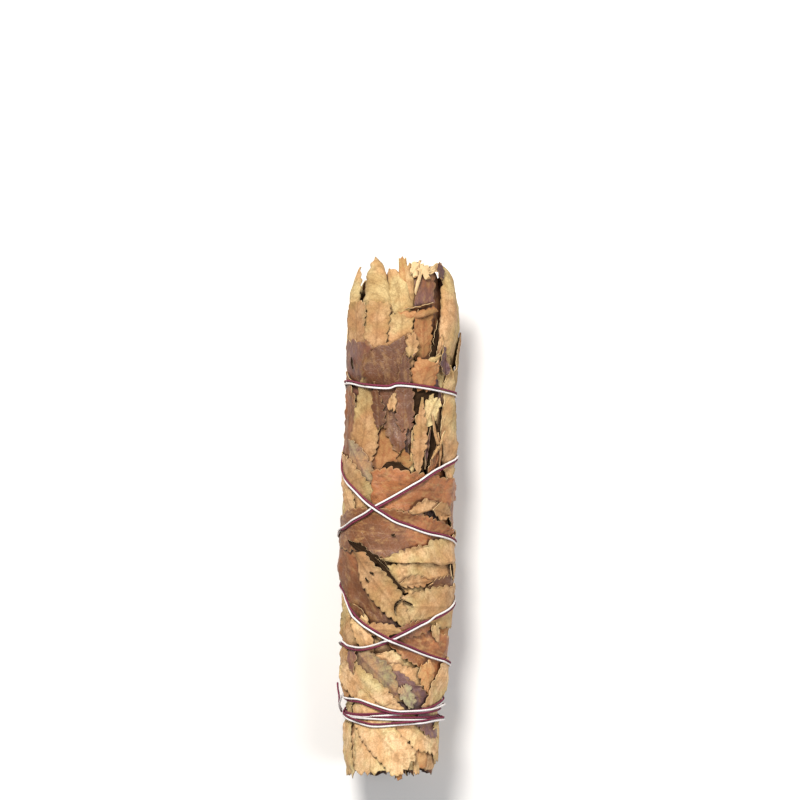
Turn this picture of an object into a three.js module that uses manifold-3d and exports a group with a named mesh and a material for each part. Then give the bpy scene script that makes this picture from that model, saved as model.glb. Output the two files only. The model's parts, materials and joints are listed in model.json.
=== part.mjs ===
// Yerba santa smudge stick: dried toothed leaves pressed round a tight inner bundle, bound by a white
// and a burgundy thread. Millimetres. The stick lies along Y with its leaf tips toward +Y, the side
// that shows its best leaves faces +Z, and it rests on Z = 0 with the origin in the middle of its
// footprint. A turn is an angle round the stick from straight up toward +X, and a station is a place
// along it.

import * as THREE from 'three';
import { mergeVertices } from 'three/addons/utils/BufferGeometryUtils.js';
import Module from 'manifold-3d';

const wasm = await Module();
wasm.setup();

function leafOf([name, turn, station, length, width, lean, face, cut = [0, 0]]) {
  return { name, turn, station, length, width, lean, face, cut };
}

// Whole stick
const STICK_LENGTH = 222;
const SURFACE_RADIUS = 24.5;
const BLADE = 0.62;
const CLEARANCE = 0.34;
const TOOTH_PITCH = 6.4;
const TOOTH_DEPTH = 1.7;
const WIDE_LEAF = 19.5;
const NARROWEST = 0.7;
const LEAF_POINT = 0.72;
const LEAF_SHOULDER = 0.85;
const TOOTH_PLACE = 0.68;
const TOOTH_LIMIT = 0.6;

// Inner bundle: radius at stations from the broken ends to the fingers
const WAIST_RADIUS = 20.6;
const BUNDLE_RADII = [
  [-107, 16.2], [-103, 17.8], [-90, 18.4], [-80, 18.5], [-68, 19], [-50, 20.3], [-30, 20.6],
  [0, WAIST_RADIUS], [30, 20.6], [50, 21.1], [62, 21.2], [72, 20.5], [77, 18.5],
];
const BUNDLE_SIDES = 24;
const BUNDLE_RING_STEP = 15;
const BROKEN_FACE_DEPTH = 2;
const UPPER_FACE_RISE = 1;
const FRONT_HOLLOW = 3.6;
const SIDE_SWELL = -0.5;
const UNDERSIDE = 19.9;

// Threads
const THREAD_DIAMETER = 0.9;
const THREAD_SIDES = 4;
const THREAD_STEPS_PER_TURN = 21;
const THREAD_SPACING = 1.4;
const TAUT_SHARES = 4;
const TAUT_PASSES = 800;
const THREAD_PASSES = 3;
const THREAD_CHECKS = 8;
const THREAD_BERTH = 0.25;
const THREAD_MARK = 0.1;
const THREAD_MARKS = 25;
const THREAD_SMOOTHNESS = 4;

// Colours of dried leaf and thread
const LEAF_FACES = {
  tan: { color: 0xd6b278, roughness: 0.9 },
  golden: { color: 0xc79b55, roughness: 0.85 },
  brown: { color: 0x8a5a3c, roughness: 0.55 },
  purple: { color: 0x6e4f4c, roughness: 0.55 },
  olive: { color: 0x8c7a5a, roughness: 0.8 },
};
const BUNDLE_FACE = { color: 0xb08a58, roughness: 0.9 };
const WHITE_FACE = { color: 0xf0e8e4, roughness: 0.8 };
const BURGUNDY_FACE = { color: 0x7a2340, roughness: 0.8 };

// Outer leaves, the lowest first: name, turn, station, length, width, lean, face and, on a broken leaf,
// the shares lost from its stalk end and its tip. Turn and lean are in degrees, the rest in
// millimetres. The lean is the way the tip points, from +Y toward +X.
const OUTER_LEAVES = [
  ['under_leaf_1', 180, 46, 60, 20, 6, 'tan'],
  ['under_leaf_2', 180, 4, 56, 21, 174, 'brown'],
  ['under_leaf_3', 181, -48, 60, 21, 5, 'tan'],
  ['under_leaf_4', 178, -92, 34, 19, 2, 'tan', [0.3, 0]],
  ['back_leaf_1', 135, 48, 60, 21, -8, 'golden'],
  ['back_leaf_2', 224, 44, 62, 21, 10, 'tan'],
  ['back_leaf_3', 134, -6, 60, 22, 12, 'tan'],
  ['back_leaf_4', 226, -8, 62, 22, -9, 'brown'],
  ['back_leaf_5', 136, -57, 58, 21, 176, 'brown'],
  ['back_leaf_6', 225, -60, 58, 21, 8, 'tan'],
  ['back_leaf_7', 130, -92, 34, 19, 3, 'tan', [0.3, 0]],
  ['back_leaf_8', 232, -92, 35, 19, -3, 'olive', [0.3, 0]],
  ['side_leaf_1', 92, 52, 54, 19, 4, 'tan'],
  ['side_leaf_2', 272, 52, 56, 19, -5, 'purple'],
  ['side_leaf_3', 96, 5, 56, 21, 172, 'brown'],
  ['side_leaf_4', 268, -2, 58, 20, 6, 'tan'],
  ['side_leaf_5', 96, -44, 56, 20, 8, 'golden'],
  ['side_leaf_6', 276, -48, 58, 20, 186, 'tan'],
  ['side_leaf_7', 86, -83, 42, 18, -2, 'tan', [0.25, 0]],
  ['side_leaf_8', 284, -90, 42, 18, 2, 'tan', [0.3, 0]],
  ['front_leaf_2', 22, 91, 32, 11.5, 2, 'purple', [0.1, 0.3]],
  ['front_leaf_26', 22, 75, 26, 11, -2, 'golden', [0.25, 0.3]],
  ['front_leaf_20', 0, 71, 32, 11, -2, 'tan', [0.2, 0.3]],
  ['front_leaf_21', -50, 58, 34, 18, 176, 'purple', [0.34, 0]],
  ['front_leaf_3', 66, 40, 50, 14, -3, 'tan'],
  ['front_leaf_4', -66, 36, 50, 13, -3, 'brown'],
  ['front_leaf_29', -17, 31, 42, 14, 4, 'golden'],
  ['front_leaf_5', -41, 38, 50, 15, 5, 'tan'],
  ['front_leaf_1', -9, 50, 47, 19.5, 171, 'brown', [0.36, 0]],
  ['front_leaf_6', 20, 33, 38, 8, 3, 'tan'],
  ['front_leaf_22', -56, 13, 46, 17, 124, 'tan'],
  ['front_leaf_28', -66, -55, 44, 15, 3, 'tan'],
  ['front_leaf_7', -38, -29, 60, 23, 134, 'brown'],
  ['front_leaf_11', 40, 11, 60, 18, 90, 'brown', [0.36, 0]],
  ['front_leaf_10', -4, -7, 84, 21, 92, 'brown'],
  ['front_leaf_27', 68, -45, 36, 14, 181, 'golden'],
  ['front_leaf_9', 43, -26.5, 54, 20, 277, 'tan', [0.3, 0]],
  ['front_leaf_8', 50, -37.5, 46, 18, 267, 'tan', [0.3, 0.15]],
  ['front_leaf_12', 43, -15, 54, 13, 264, 'tan', [0.36, 0]],
  ['front_leaf_13', -15, -32, 47, 14, 138, 'tan'],
  ['front_leaf_23', 14, -66, 40, 15, 112, 'tan'],
  ['front_leaf_15', 38, -57, 52, 18, 283, 'brown', [0.3, 0]],
  ['front_leaf_24', 33, -80, 42, 13, 136, 'purple'],
  ['front_leaf_14', -16, -67, 35, 13, 128, 'olive'],
  ['front_leaf_16', 66, -73, 36, 16, 222, 'tan'],
  ['front_leaf_17', -30, -75, 46, 17, 119, 'tan'],
  ['front_leaf_18', 30, -90, 40, 13, 118, 'tan'],
  ['front_leaf_25', -24, -97.5, 24, 21, 178, 'tan', [0.2, 0.4]],
  ['front_leaf_19', -15, -91.5, 43, 17, 134, 'tan', [0.2, 0.3]],
].map(leafOf);

// Leaves underneath that belly out between the bindings and carry the stick
const RESTING_LEAVES = [
  ['resting_leaf_1', 180, 7, 40, 18, 2, 'tan'],
  ['resting_leaf_2', 180, -52, 42, 18, 181, 'brown'],
].map(leafOf);
const REST_HALF_WIDTH = 6;
const REST_FADE = 5;
const BELLY_START = 0.25;
const BELLY_END = 0.75;
const REST_MARGIN = 0.12;

// Folded leaves that stand out of the upper end: turn and distance from the axis of each fold, the
// station of its tip, its width and how far it leans outward
const FINGERS = [
  { turn: -69, out: 22.6, tip: 105.5, width: 9, lean: -1 },
  { turn: -28, out: 20.5, tip: 108.5, width: 11, lean: -1 },
  { turn: -5, out: 19.3, tip: 105.5, width: 11, lean: -1 },
  { turn: 0, out: 18, tip: 110.5, width: 4.5, lean: 0 },
  { turn: 58, out: 23.5, tip: 107, width: 12.5, lean: -1.5 },
  { turn: 94, out: 22.8, tip: 99, width: 12, lean: -0.5 },
  { turn: 132, out: 19.5, tip: 104, width: 13, lean: 0 },
  { turn: 172, out: 18, tip: 100, width: 13, lean: -0.5 },
  { turn: 211, out: 18.5, tip: 106, width: 13, lean: -0.5 },
  { turn: 249, out: 19.5, tip: 101, width: 13, lean: 0 },
  { turn: 282, out: 22.8, tip: 103, width: 12, lean: -0.5 },
  { turn: 14, out: 11, tip: 107, width: 13, lean: 0 },
  { turn: 132, out: 9, tip: 109, width: 13, lean: 0 },
  { turn: 252, out: 9, tip: 111, width: 13, lean: 0 },
];
const FINGER_FOOT = 71;
const TIP_RADIUS = 19.4;
const FINGER_FOLD = 0.5;
const FINGER_BLADE = 0.95;
const FINGER_PITCH = 7.0;
const FINGER_TEETH = 0.9;
const FINGER_POINT = 0.55;

// Broken leaf ends and cut stems at the lower end
const BROKEN_ENDS = [
  { turn: 20, out: 11, tip: 108.5, width: 12, lean: 0 },
  { turn: 85, out: 12, tip: 110.5, width: 11, lean: 0 },
  { turn: 150, out: 12.5, tip: 109, width: 12, lean: 0 },
  { turn: 215, out: 12, tip: 110, width: 12, lean: 0 },
  { turn: 290, out: 12.5, tip: 111, width: 12, lean: 0 },
  { turn: 330, out: 4, tip: 110, width: 11, lean: 0 },
];
const BROKEN_FOOT = 101;
const STEMS = [
  { turn: 50, out: 9, end: 110, diameter: 2.6 },
  { turn: 62, out: 13.5, end: 108.5, diameter: 2.2 },
  { turn: 120, out: 7, end: 109.5, diameter: 2.8 },
  { turn: 250, out: 7, end: 109, diameter: 2.4 },
  { turn: 180, out: 8.5, end: 110.5, diameter: 2.4 },
];
const STEM_SIDES = 6;
const STEM_SUNK = 8;
const STEM_SHOWN = 8;

// Route of the pair of threads as turn and station: first the wraps and the spiral up with the level
// turn, then the drop at the left, the spiral down and the last wraps
const ROUTE_UP = [
  [-1170, -84.6], [-1080, -84.8], [-990, -84.2], [-900, -83.2], [-810, -81.6], [-765, -81.7],
  [-720, -81.6], [-675, -80], [-630, -76.4], [-540, -65.5], [-450, -54.6], [-419, -55.6], [-400, -56],
  [-381, -54.4], [-365, -51.9], [-349, -48.5],
  [-328, -44.6], [-302, -40.6], [-270, -35], [-180, -21.5], [-90, -8], [-65, -5], [-38, 0.4], [-25, 3.8],
  [-1, 9.4], [17, 14], [38, 19.1], [54, 21.8], [88, 26.4], [180, 40.5], [240, 51], [270, 55], [295, 56.5],
  [320, 55.4], [346, 54.8], [360, 56.1], [404, 54.4], [448, 52.3], [500, 52], [540, 53.8], [570, 57],
];
const ROUTE_DOWN = [
  [588, 58.2], [600, 55.5], [605, 50], [606, 43.5], [609, 36], [618, 29.5], [630, 23.5], [643, 17.5],
  [664, 12.3], [682, 7.2], [696, 3.8], [709, 0.4], [719, -1.7], [737, -3.8], [757, -6], [800, -9.4],
  [900, -21], [970, -28.5], [1000, -32.5], [1014, -36], [1028, -40.8], [1046, -45.9], [1072, -51],
  [1080, -52.3], [1102, -55.3],
  [1127, -58.2], [1165, -61.6], [1260, -69], [1330, -75.6], [1375, -77.8], [1397, -78], [1418, -79.9],
  [1442, -82], [1460, -82], [1498, -80.8], [1540, -79.2], [1620, -79.8], [1700, -83.4], [1750, -86.4],
  [1778, -88], [1807, -87], [1832, -86], [1865, -84.8], [1950, -85.4], [2000, -87.4],
];
const ROUTE_JOIN = 40;

// Field of the outermost radius so far, over turn and station
const FIELD_TURNS = 360;
const FIELD_STEP = 0.8;
const STAMP_SPACING = 0.4;
const SETTLE_SPACING = 0.7;
const SETTLE_PASSES = 12;
const FIELD_START = -STICK_LENGTH / 2 - 8;
const FIELD_ROWS = Math.ceil((STICK_LENGTH + 16) / FIELD_STEP);
const field = new Float32Array(FIELD_TURNS * FIELD_ROWS).map((empty, cell) => {
  const station = FIELD_START + FIELD_STEP * Math.floor(cell / FIELD_TURNS);
  return station > FINGER_FOOT ? TIP_RADIUS : empty;
});

const radians = THREE.MathUtils.degToRad;

function place(turn, station, radius) {
  return new THREE.Vector3(radius * Math.sin(turn), station, radius * Math.cos(turn));
}

function placeOf({ turn, station, radius }) {
  return place(turn, station, radius);
}

function fieldCells(turn, station) {
  const column = THREE.MathUtils.euclideanModulo(turn / (2 * Math.PI), 1) * FIELD_TURNS;
  const row = THREE.MathUtils.clamp((station - FIELD_START) / FIELD_STEP, 0, FIELD_ROWS - 1.001);
  const left = Math.floor(column) % FIELD_TURNS;
  const right = (left + 1) % FIELD_TURNS;
  const low = Math.floor(row) * FIELD_TURNS;
  return [low + left, low + right, low + FIELD_TURNS + left, low + FIELD_TURNS + right];
}

function fieldRadius(turn, station) {
  return Math.max(...fieldCells(turn, station).map((cell) => field[cell]));
}

// Calls visit with the weights of points spread over a triangle no more than a spacing apart
function sampleTriangle(corners, spacing, visit) {
  const longest = Math.max(
    corners[0].distanceTo(corners[1]),
    corners[1].distanceTo(corners[2]),
    corners[2].distanceTo(corners[0]),
  );
  const steps = Math.max(2, Math.ceil(longest / spacing));
  for (let i = 0; i <= steps; i += 1) {
    for (let j = 0; j <= steps - i; j += 1) {
      visit([i / steps, j / steps, (steps - i - j) / steps]);
    }
  }
}

function blend(corners, weights) {
  const point = new THREE.Vector3();
  corners.forEach((corner, index) => point.addScaledVector(corner, weights[index]));
  return point;
}

// Raises the field to the outside of a solid
function stamp(points, faces) {
  for (const face of faces) {
    const corners = face.map((index) => points[index]);
    sampleTriangle(corners, STAMP_SPACING, (weights) => {
      const point = blend(corners, weights);
      const radius = Math.hypot(point.x, point.z);
      for (const cell of fieldCells(Math.atan2(point.x, point.z), point.y)) {
        field[cell] = Math.max(field[cell], radius);
      }
    });
  }
}

// Solid and geometry
function geometryOf(points, faces) {
  const geometry = new THREE.BufferGeometry();
  geometry.setAttribute('position', new THREE.Float32BufferAttribute(points.flatMap((p) => p.toArray()), 3));
  geometry.setIndex(faces.flat());
  return geometry;
}

function solidOf(geometry) {
  const bare = geometry.clone();
  bare.deleteAttribute('normal');
  bare.deleteAttribute('uv');
  const merged = mergeVertices(bare, 1e-4);
  return new wasm.Manifold(new wasm.Mesh({
    numProp: 3,
    vertProperties: Float32Array.from(merged.attributes.position.array),
    triVerts: Uint32Array.from(merged.index.array),
  }));
}

function geometryFromSolid(solid) {
  const mesh = solid.getMesh();
  const geometry = new THREE.BufferGeometry();
  geometry.setAttribute('position', new THREE.BufferAttribute(mesh.vertProperties, 3));
  geometry.setIndex(new THREE.BufferAttribute(mesh.triVerts, 1));
  return geometry;
}

// Flat pattern of a toothed blade: points across and along it, and faces wound for its outer side
function bladePattern(length, width, cut, pitch, columns, depth, point) {
  const rows = Math.max(3, Math.round(length / pitch));
  const points = [];
  const faces = [];
  const halfWidth = (share) => {
    const whole = cut[0] + (1 - cut[0] - cut[1]) * share;
    return Math.max(NARROWEST, 0.5 * width * Math.sin(Math.PI * whole ** LEAF_SHOULDER) ** point);
  };
  for (let row = 0; row <= rows; row += 1) {
    const half = halfWidth(row / rows);
    for (let column = 0; column <= columns; column += 1) {
      points.push({ across: half * (2 * column / columns - 1), along: length * row / rows });
    }
  }
  const index = (row, column) => row * (columns + 1) + column;
  for (let row = 0; row < rows; row += 1) {
    for (let column = 0; column < columns; column += 1) {
      const corner = index(row, column);
      const opposite = index(row + 1, column + 1);
      faces.push([corner, corner + 1, opposite], [corner, opposite, opposite - 1]);
    }
    const toothShare = (row + TOOTH_PLACE) / rows;
    const reach = halfWidth(toothShare) + Math.min(depth, halfWidth(toothShare) * TOOTH_LIMIT);
    points.push({ across: -reach, along: length * toothShare });
    faces.push([index(row, 0), index(row + 1, 0), points.length - 1]);
    points.push({ across: reach, along: length * toothShare });
    faces.push([index(row, columns), points.length - 1, index(row + 1, columns)]);
  }
  return { points, faces };
}

// Closes a blade between its inner and outer points, with faces alike on both sides
function closeBlade(inner, outer, faces) {
  const edges = new Map();
  for (const face of faces) {
    for (let side = 0; side < 3; side += 1) {
      edges.set(`${face[side]},${face[(side + 1) % 3]}`, [face[side], face[(side + 1) % 3]]);
    }
  }
  const count = inner.length;
  const closed = faces.map((face) => face.map((index) => index + count));
  closed.push(...faces.map((face) => [face[0], face[2], face[1]]));
  for (const [from, to] of edges.values()) {
    if (!edges.has(`${to},${from}`)) {
      closed.push([to + count, from + count, from], [to + count, from, to]);
    }
  }
  return { points: [...inner, ...outer], faces: closed };
}

// Lets a sheet sink onto the field: it is smoothed like stiff dry leaf, and raised off what it touches
function settle(sheet, faces, clearance) {
  const neighbours = sheet.map(() => new Set());
  for (const face of faces) {
    face.forEach((index) => face.forEach((other) => neighbours[index].add(other)));
  }
  const raise = () => {
    for (const face of faces) {
      const corners = face.map((index) => placeOf(sheet[index]));
      sampleTriangle(corners, SETTLE_SPACING, (weights) => {
        const point = blend(corners, weights);
        const needed = fieldRadius(Math.atan2(point.x, point.z), point.y) + clearance;
        const short = needed - Math.hypot(point.x, point.z);
        if (short > 0) {
          const share = weights.reduce((sum, weight) => sum + weight * weight, 0);
          face.forEach((index, corner) => {
            sheet[index].radius += short * weights[corner] / share;
            corners[corner] = placeOf(sheet[index]);
          });
        }
      });
    }
  };
  for (let pass = 0; pass < SETTLE_PASSES; pass += 1) {
    const smooth = neighbours.map((near) => {
      const total = [...near].reduce((sum, other) => sum + sheet[other].radius, 0);
      return total / near.size;
    });
    sheet.forEach((point, index) => {
      point.radius = Math.min(point.radius, 0.5 * (point.radius + smooth[index]));
    });
    raise();
  }
  raise();
  raise();
}

// Wraps a flat pattern round the stick at the field's radius
function wrapPattern(leaf, points) {
  const lean = radians(leaf.lean);
  return points.map(({ across, along }) => {
    const ahead = along - leaf.length / 2;
    const arc = across * Math.cos(lean) + ahead * Math.sin(lean);
    const station = leaf.station - across * Math.sin(lean) + ahead * Math.cos(lean);
    const turn = radians(leaf.turn) + arc / SURFACE_RADIUS;
    return { turn, station, radius: fieldRadius(turn, station) + CLEARANCE };
  });
}

function leafPattern(leaf) {
  const columns = leaf.width > WIDE_LEAF ? 4 : 3;
  return bladePattern(leaf.length, leaf.width, leaf.cut, TOOTH_PITCH, columns, TOOTH_DEPTH, LEAF_POINT);
}

function outerLeaf(leaf) {
  const pattern = leafPattern(leaf);
  const sheet = wrapPattern(leaf, pattern.points);
  settle(sheet, pattern.faces, CLEARANCE);
  const inner = sheet.map(placeOf);
  const outer = sheet.map((point) => place(point.turn, point.station, point.radius + BLADE));
  const solid = closeBlade(inner, outer, pattern.faces);
  stamp(solid.points, solid.faces);
  return geometryOf(solid.points, solid.faces);
}

// A resting leaf bellies out until its middle lies on the table
function restingLeaf(leaf, tableDepth) {
  const pattern = leafPattern(leaf);
  const sheet = wrapPattern(leaf, pattern.points);
  settle(sheet, pattern.faces, CLEARANCE);
  const inner = [];
  const outer = [];
  sheet.forEach((point, index) => {
    const share = pattern.points[index].along / leaf.length;
    const belly = THREE.MathUtils.smoothstep(Math.sin(Math.PI * share), BELLY_START, BELLY_END);
    const sideways = Math.abs(point.radius * Math.sin(point.turn));
    const edge = THREE.MathUtils.smoothstep(sideways, REST_HALF_WIDTH, REST_HALF_WIDTH + REST_FADE);
    const flat = belly * (1 - edge);
    const lowest = (tableDepth - BLADE) / Math.abs(Math.cos(point.turn));
    point.radius = Math.max(point.radius, point.radius + flat * (lowest - point.radius));
    inner.push(placeOf(point));
    const below = place(point.turn, point.station, point.radius + BLADE);
    if (flat > 0.999 || below.z < -tableDepth) {
      below.z = -tableDepth;
    }
    outer.push(below);
  });
  const solid = closeBlade(inner, outer, pattern.faces);
  return geometryOf(solid.points, solid.faces);
}

// A leaf folded along its rib, standing along the stick at one end
function foldedBlade(blade, foot, end) {
  const length = blade.tip - foot;
  const pattern = bladePattern(length, blade.width, [0.3, 0], FINGER_PITCH, 2, FINGER_TEETH, FINGER_POINT);
  const turn = radians(blade.turn);
  const outward = new THREE.Vector3(Math.sin(turn), 0, Math.cos(turn));
  const sideways = new THREE.Vector3(Math.cos(turn), 0, -Math.sin(turn));
  const spread = (extra) => pattern.points.map(({ across, along }) => {
    const rise = blade.out + blade.lean * along / length - Math.abs(across) * FINGER_FOLD + extra;
    const point = new THREE.Vector3(0, end * (foot + along), 0);
    return point.addScaledVector(outward, rise).addScaledVector(sideways, end * across);
  });
  return closeBlade(spread(-FINGER_BLADE), spread(0), pattern.faces);
}

function bundleRadius(turn, station) {
  const next = Math.max(1, BUNDLE_RADII.findIndex((pair) => pair[0] >= station));
  const [before, after] = [BUNDLE_RADII[next - 1], BUNDLE_RADII[next]];
  const along = THREE.MathUtils.mapLinear(station, before[0], after[0], before[1], after[1]);
  const lumps = 0.25 * Math.sin(3 * turn + 1.1) + 0.25 * Math.sin(5 * turn - station / 19);
  const front = FRONT_HOLLOW * Math.max(0, Math.cos(turn)) ** 2;
  const side = SIDE_SWELL * Math.sin(turn) ** 4;
  const under = Math.cos(turn) < 0 ? -UNDERSIDE * along / WAIST_RADIUS / Math.cos(turn) : Infinity;
  return Math.min(along + lumps - front + side, under);
}

// Tight middle of the bundle
function bundleCore() {
  const points = [];
  const faces = [];
  const stations = BUNDLE_RADII.map((pair) => pair[0]);
  const refined = stations.flatMap((station, index) => {
    const next = stations[index + 1];
    return next - station > BUNDLE_RING_STEP ? [station, (station + next) / 2] : [station];
  });
  refined.forEach((station) => {
    for (let side = 0; side < BUNDLE_SIDES; side += 1) {
      const turn = 2 * Math.PI * side / BUNDLE_SIDES;
      points.push(place(turn, station, bundleRadius(turn, station)));
    }
  });
  const rings = refined.length;
  for (let ring = 0; ring < rings - 1; ring += 1) {
    for (let side = 0; side < BUNDLE_SIDES; side += 1) {
      const corner = ring * BUNDLE_SIDES + side;
      const beside = ring * BUNDLE_SIDES + (side + 1) % BUNDLE_SIDES;
      faces.push([corner, beside, beside + BUNDLE_SIDES]);
      faces.push([corner, beside + BUNDLE_SIDES, corner + BUNDLE_SIDES]);
    }
  }
  const first = points.push(new THREE.Vector3(0, refined[0] + BROKEN_FACE_DEPTH, 0)) - 1;
  const last = points.push(new THREE.Vector3(0, refined[rings - 1] + UPPER_FACE_RISE, 0)) - 1;
  const top = (rings - 1) * BUNDLE_SIDES;
  for (let side = 0; side < BUNDLE_SIDES; side += 1) {
    const next = (side + 1) % BUNDLE_SIDES;
    faces.push([first, next, side], [last, top + side, top + next]);
  }
  return { points, faces };
}

function stemSolid(stem) {
  const length = STEM_SUNK + STEM_SHOWN;
  const radius = stem.diameter / 2;
  const geometry = new THREE.CylinderGeometry(radius, radius, length, STEM_SIDES, 1);
  const middle = place(radians(stem.turn), -stem.end + length / 2, stem.out);
  geometry.translate(middle.x, middle.y, middle.z);
  return geometry;
}

// Inner leaves, fingers, broken ends and stems grown together in one body
function innerBundle() {
  const blades = [
    bundleCore(),
    ...FINGERS.map((blade) => foldedBlade(blade, FINGER_FOOT, 1)),
    ...BROKEN_ENDS.map((blade) => foldedBlade(blade, BROKEN_FOOT, -1)),
  ];
  blades.forEach((blade) => stamp(blade.points, blade.faces));
  const solids = blades.map((blade) => solidOf(geometryOf(blade.points, blade.faces)));
  solids.push(...STEMS.map((stem) => solidOf(stemSolid(stem))));
  const whole = solids.reduce((joined, solid) => joined.add(solid));
  return geometryFromSolid(whole);
}

// Points along a route of turns and stations, a fixed share of a turn apart
function routePoints(route, offset) {
  const curve = new THREE.CatmullRomCurve3(
    route.map(([turn, station]) => new THREE.Vector3(radians(turn) * SURFACE_RADIUS, station, 0)),
    false,
    'centripetal',
  );
  const length = curve.getLength();
  const step = 2 * Math.PI * SURFACE_RADIUS / THREAD_STEPS_PER_TURN;
  const count = Math.round(length / step);
  const points = [];
  for (let index = 0; index <= count; index += 1) {
    const point = curve.getPointAt(index / count);
    const tangent = curve.getTangentAt(index / count);
    points.push({
      turn: (point.x - tangent.y * offset) / SURFACE_RADIUS,
      station: point.y + tangent.x * offset,
      radius: 0,
    });
  }
  return points;
}

function threadFloor(turn, station) {
  const reach = THREAD_DIAMETER / 2 + THREAD_BERTH;
  let highest = 0;
  for (const across of [-reach, -reach / 2, 0, reach / 2, reach]) {
    for (const along of [-reach, -reach / 2, 0, reach / 2, reach]) {
      highest = Math.max(highest, fieldRadius(turn + across / SURFACE_RADIUS, station + along));
    }
  }
  return highest + CLEARANCE + THREAD_DIAMETER / 2;
}

// Radius of a fine route drawn tight: it rests on what stands highest and is straight between
function tautRadii(fine) {
  const floors = fine.map((point) => threadFloor(point.turn, point.station));
  const radii = [...floors];
  for (let pass = 0; pass < TAUT_PASSES; pass += 1) {
    for (let index = 1; index < fine.length - 1; index += 1) {
      const [before, after] = [fine[index - 1], fine[index + 1]];
      const start = place(before.turn, before.station, radii[index - 1]);
      const middle = start.lerp(place(after.turn, after.station, radii[index + 1]), 0.5);
      radii[index] = Math.max(floors[index], Math.hypot(middle.x, middle.z));
    }
  }
  return radii;
}

// Draws a stretch of thread tight over the field, from one point of its route to another
function tighten(points, from, to) {
  const fine = [];
  for (let index = from; index < to; index += 1) {
    for (let share = 0; share < 1; share += 1 / TAUT_SHARES) {
      fine.push({
        turn: THREE.MathUtils.lerp(points[index].turn, points[index + 1].turn, share),
        station: THREE.MathUtils.lerp(points[index].station, points[index + 1].station, share),
      });
    }
  }
  fine.push(points[to]);
  const radii = tautRadii(fine);
  for (let index = from; index <= to; index += 1) {
    points[index].radius = Math.max(points[index].radius, radii[(index - from) * TAUT_SHARES]);
  }
  for (let pass = 0; pass < THREAD_PASSES; pass += 1) {
    for (let index = Math.max(from, 1); index <= to; index += 1) {
      const [start, end] = [points[index - 1], points[index]];
      for (let check = 0; check <= THREAD_CHECKS; check += 1) {
        const share = check / THREAD_CHECKS;
        const point = placeOf(start).lerp(placeOf(end), share);
        const short = threadFloor(Math.atan2(point.x, point.z), point.y) - Math.hypot(point.x, point.z);
        if (short > 0) {
          const weight = share * share + (1 - share) * (1 - share);
          start.radius += short * (1 - share) / weight;
          end.radius += short * share / weight;
        }
      }
    }
  }
}

function stampThread(points, from, to) {
  const reach = THREAD_DIAMETER / 2 + THREAD_MARK;
  for (let index = from; index < to; index += 1) {
    for (let share = 0; share < 1; share += 1 / THREAD_MARKS) {
      const radius = THREE.MathUtils.lerp(points[index].radius, points[index + 1].radius, share);
      const turn = THREE.MathUtils.lerp(points[index].turn, points[index + 1].turn, share);
      const station = THREE.MathUtils.lerp(points[index].station, points[index + 1].station, share);
      for (const across of [-reach, 0, reach]) {
        for (const along of [-reach, 0, reach]) {
          for (const cell of fieldCells(turn + across / SURFACE_RADIUS, station + along)) {
            field[cell] = Math.max(field[cell], radius + THREAD_DIAMETER / 2);
          }
        }
      }
    }
  }
}

function threadTube(points) {
  const path = new THREE.CatmullRomCurve3(points.map(placeOf));
  path.arcLengthDivisions = THREAD_SMOOTHNESS * points.length;
  const section = new THREE.Shape();
  for (let side = 0; side < THREAD_SIDES; side += 1) {
    const angle = 2 * Math.PI * side / THREAD_SIDES;
    const corner = [0.5 * THREAD_DIAMETER * Math.cos(angle), 0.5 * THREAD_DIAMETER * Math.sin(angle)];
    if (side === 0) {
      section.moveTo(...corner);
    } else {
      section.lineTo(...corner);
    }
  }
  return new THREE.ExtrudeGeometry(section, {
    steps: points.length - 1,
    bevelEnabled: false,
    extrudePath: path,
  });
}

// Both threads: the second stretch is drawn over the first
function threadPair() {
  const route = [...ROUTE_UP, ...ROUTE_DOWN];
  const strands = [THREAD_SPACING / 2, -THREAD_SPACING / 2].map((offset) => routePoints(route, offset));
  const joinTurn = radians(ROUTE_DOWN[0][0]);
  const joins = strands.map((points) => points.findIndex((point) => point.turn >= joinTurn));
  const loose = Math.round(ROUTE_JOIN / 360 * THREAD_STEPS_PER_TURN);
  strands.forEach((points, index) => tighten(points, 0, joins[index]));
  strands.forEach((points, index) => stampThread(points, 0, joins[index] - loose));
  strands.forEach((points, index) => tighten(points, joins[index], points.length - 1));
  strands.forEach((points, index) => stampThread(points, joins[index] - loose, points.length - 1));
  return { burgundy: threadTube(strands[0]), white: threadTube(strands[1]) };
}

function finish(face) {
  return new THREE.MeshStandardMaterial({ color: face.color, roughness: face.roughness, metalness: 0 });
}

function addPiece(group, name, geometry, face) {
  const mesh = new THREE.Mesh(geometry, finish(face));
  mesh.name = name;
  group.add(mesh);
}

const stick = new THREE.Group();
addPiece(stick, 'inner_bundle', innerBundle(), BUNDLE_FACE);
for (const leaf of OUTER_LEAVES) {
  addPiece(stick, leaf.name, outerLeaf(leaf), LEAF_FACES[leaf.face]);
}
const threads = threadPair();
addPiece(stick, 'white_thread', threads.white, WHITE_FACE);
addPiece(stick, 'burgundy_thread', threads.burgundy, BURGUNDY_FACE);

// The table touches the resting leaves alone
const lowest = new THREE.Box3().setFromObject(stick).min.z;
const tableDepth = -lowest + REST_MARGIN;
for (const leaf of RESTING_LEAVES) {
  addPiece(stick, leaf.name, restingLeaf(leaf, tableDepth), LEAF_FACES[leaf.face]);
}
const bounds = new THREE.Box3().setFromObject(stick);
const middle = bounds.getCenter(new THREE.Vector3());
stick.position.set(-middle.x, -middle.y, tableDepth);

export default stick;
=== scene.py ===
"""Yerba santa smudge stick: the looks of its dried leaves and binding threads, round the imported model."""

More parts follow.
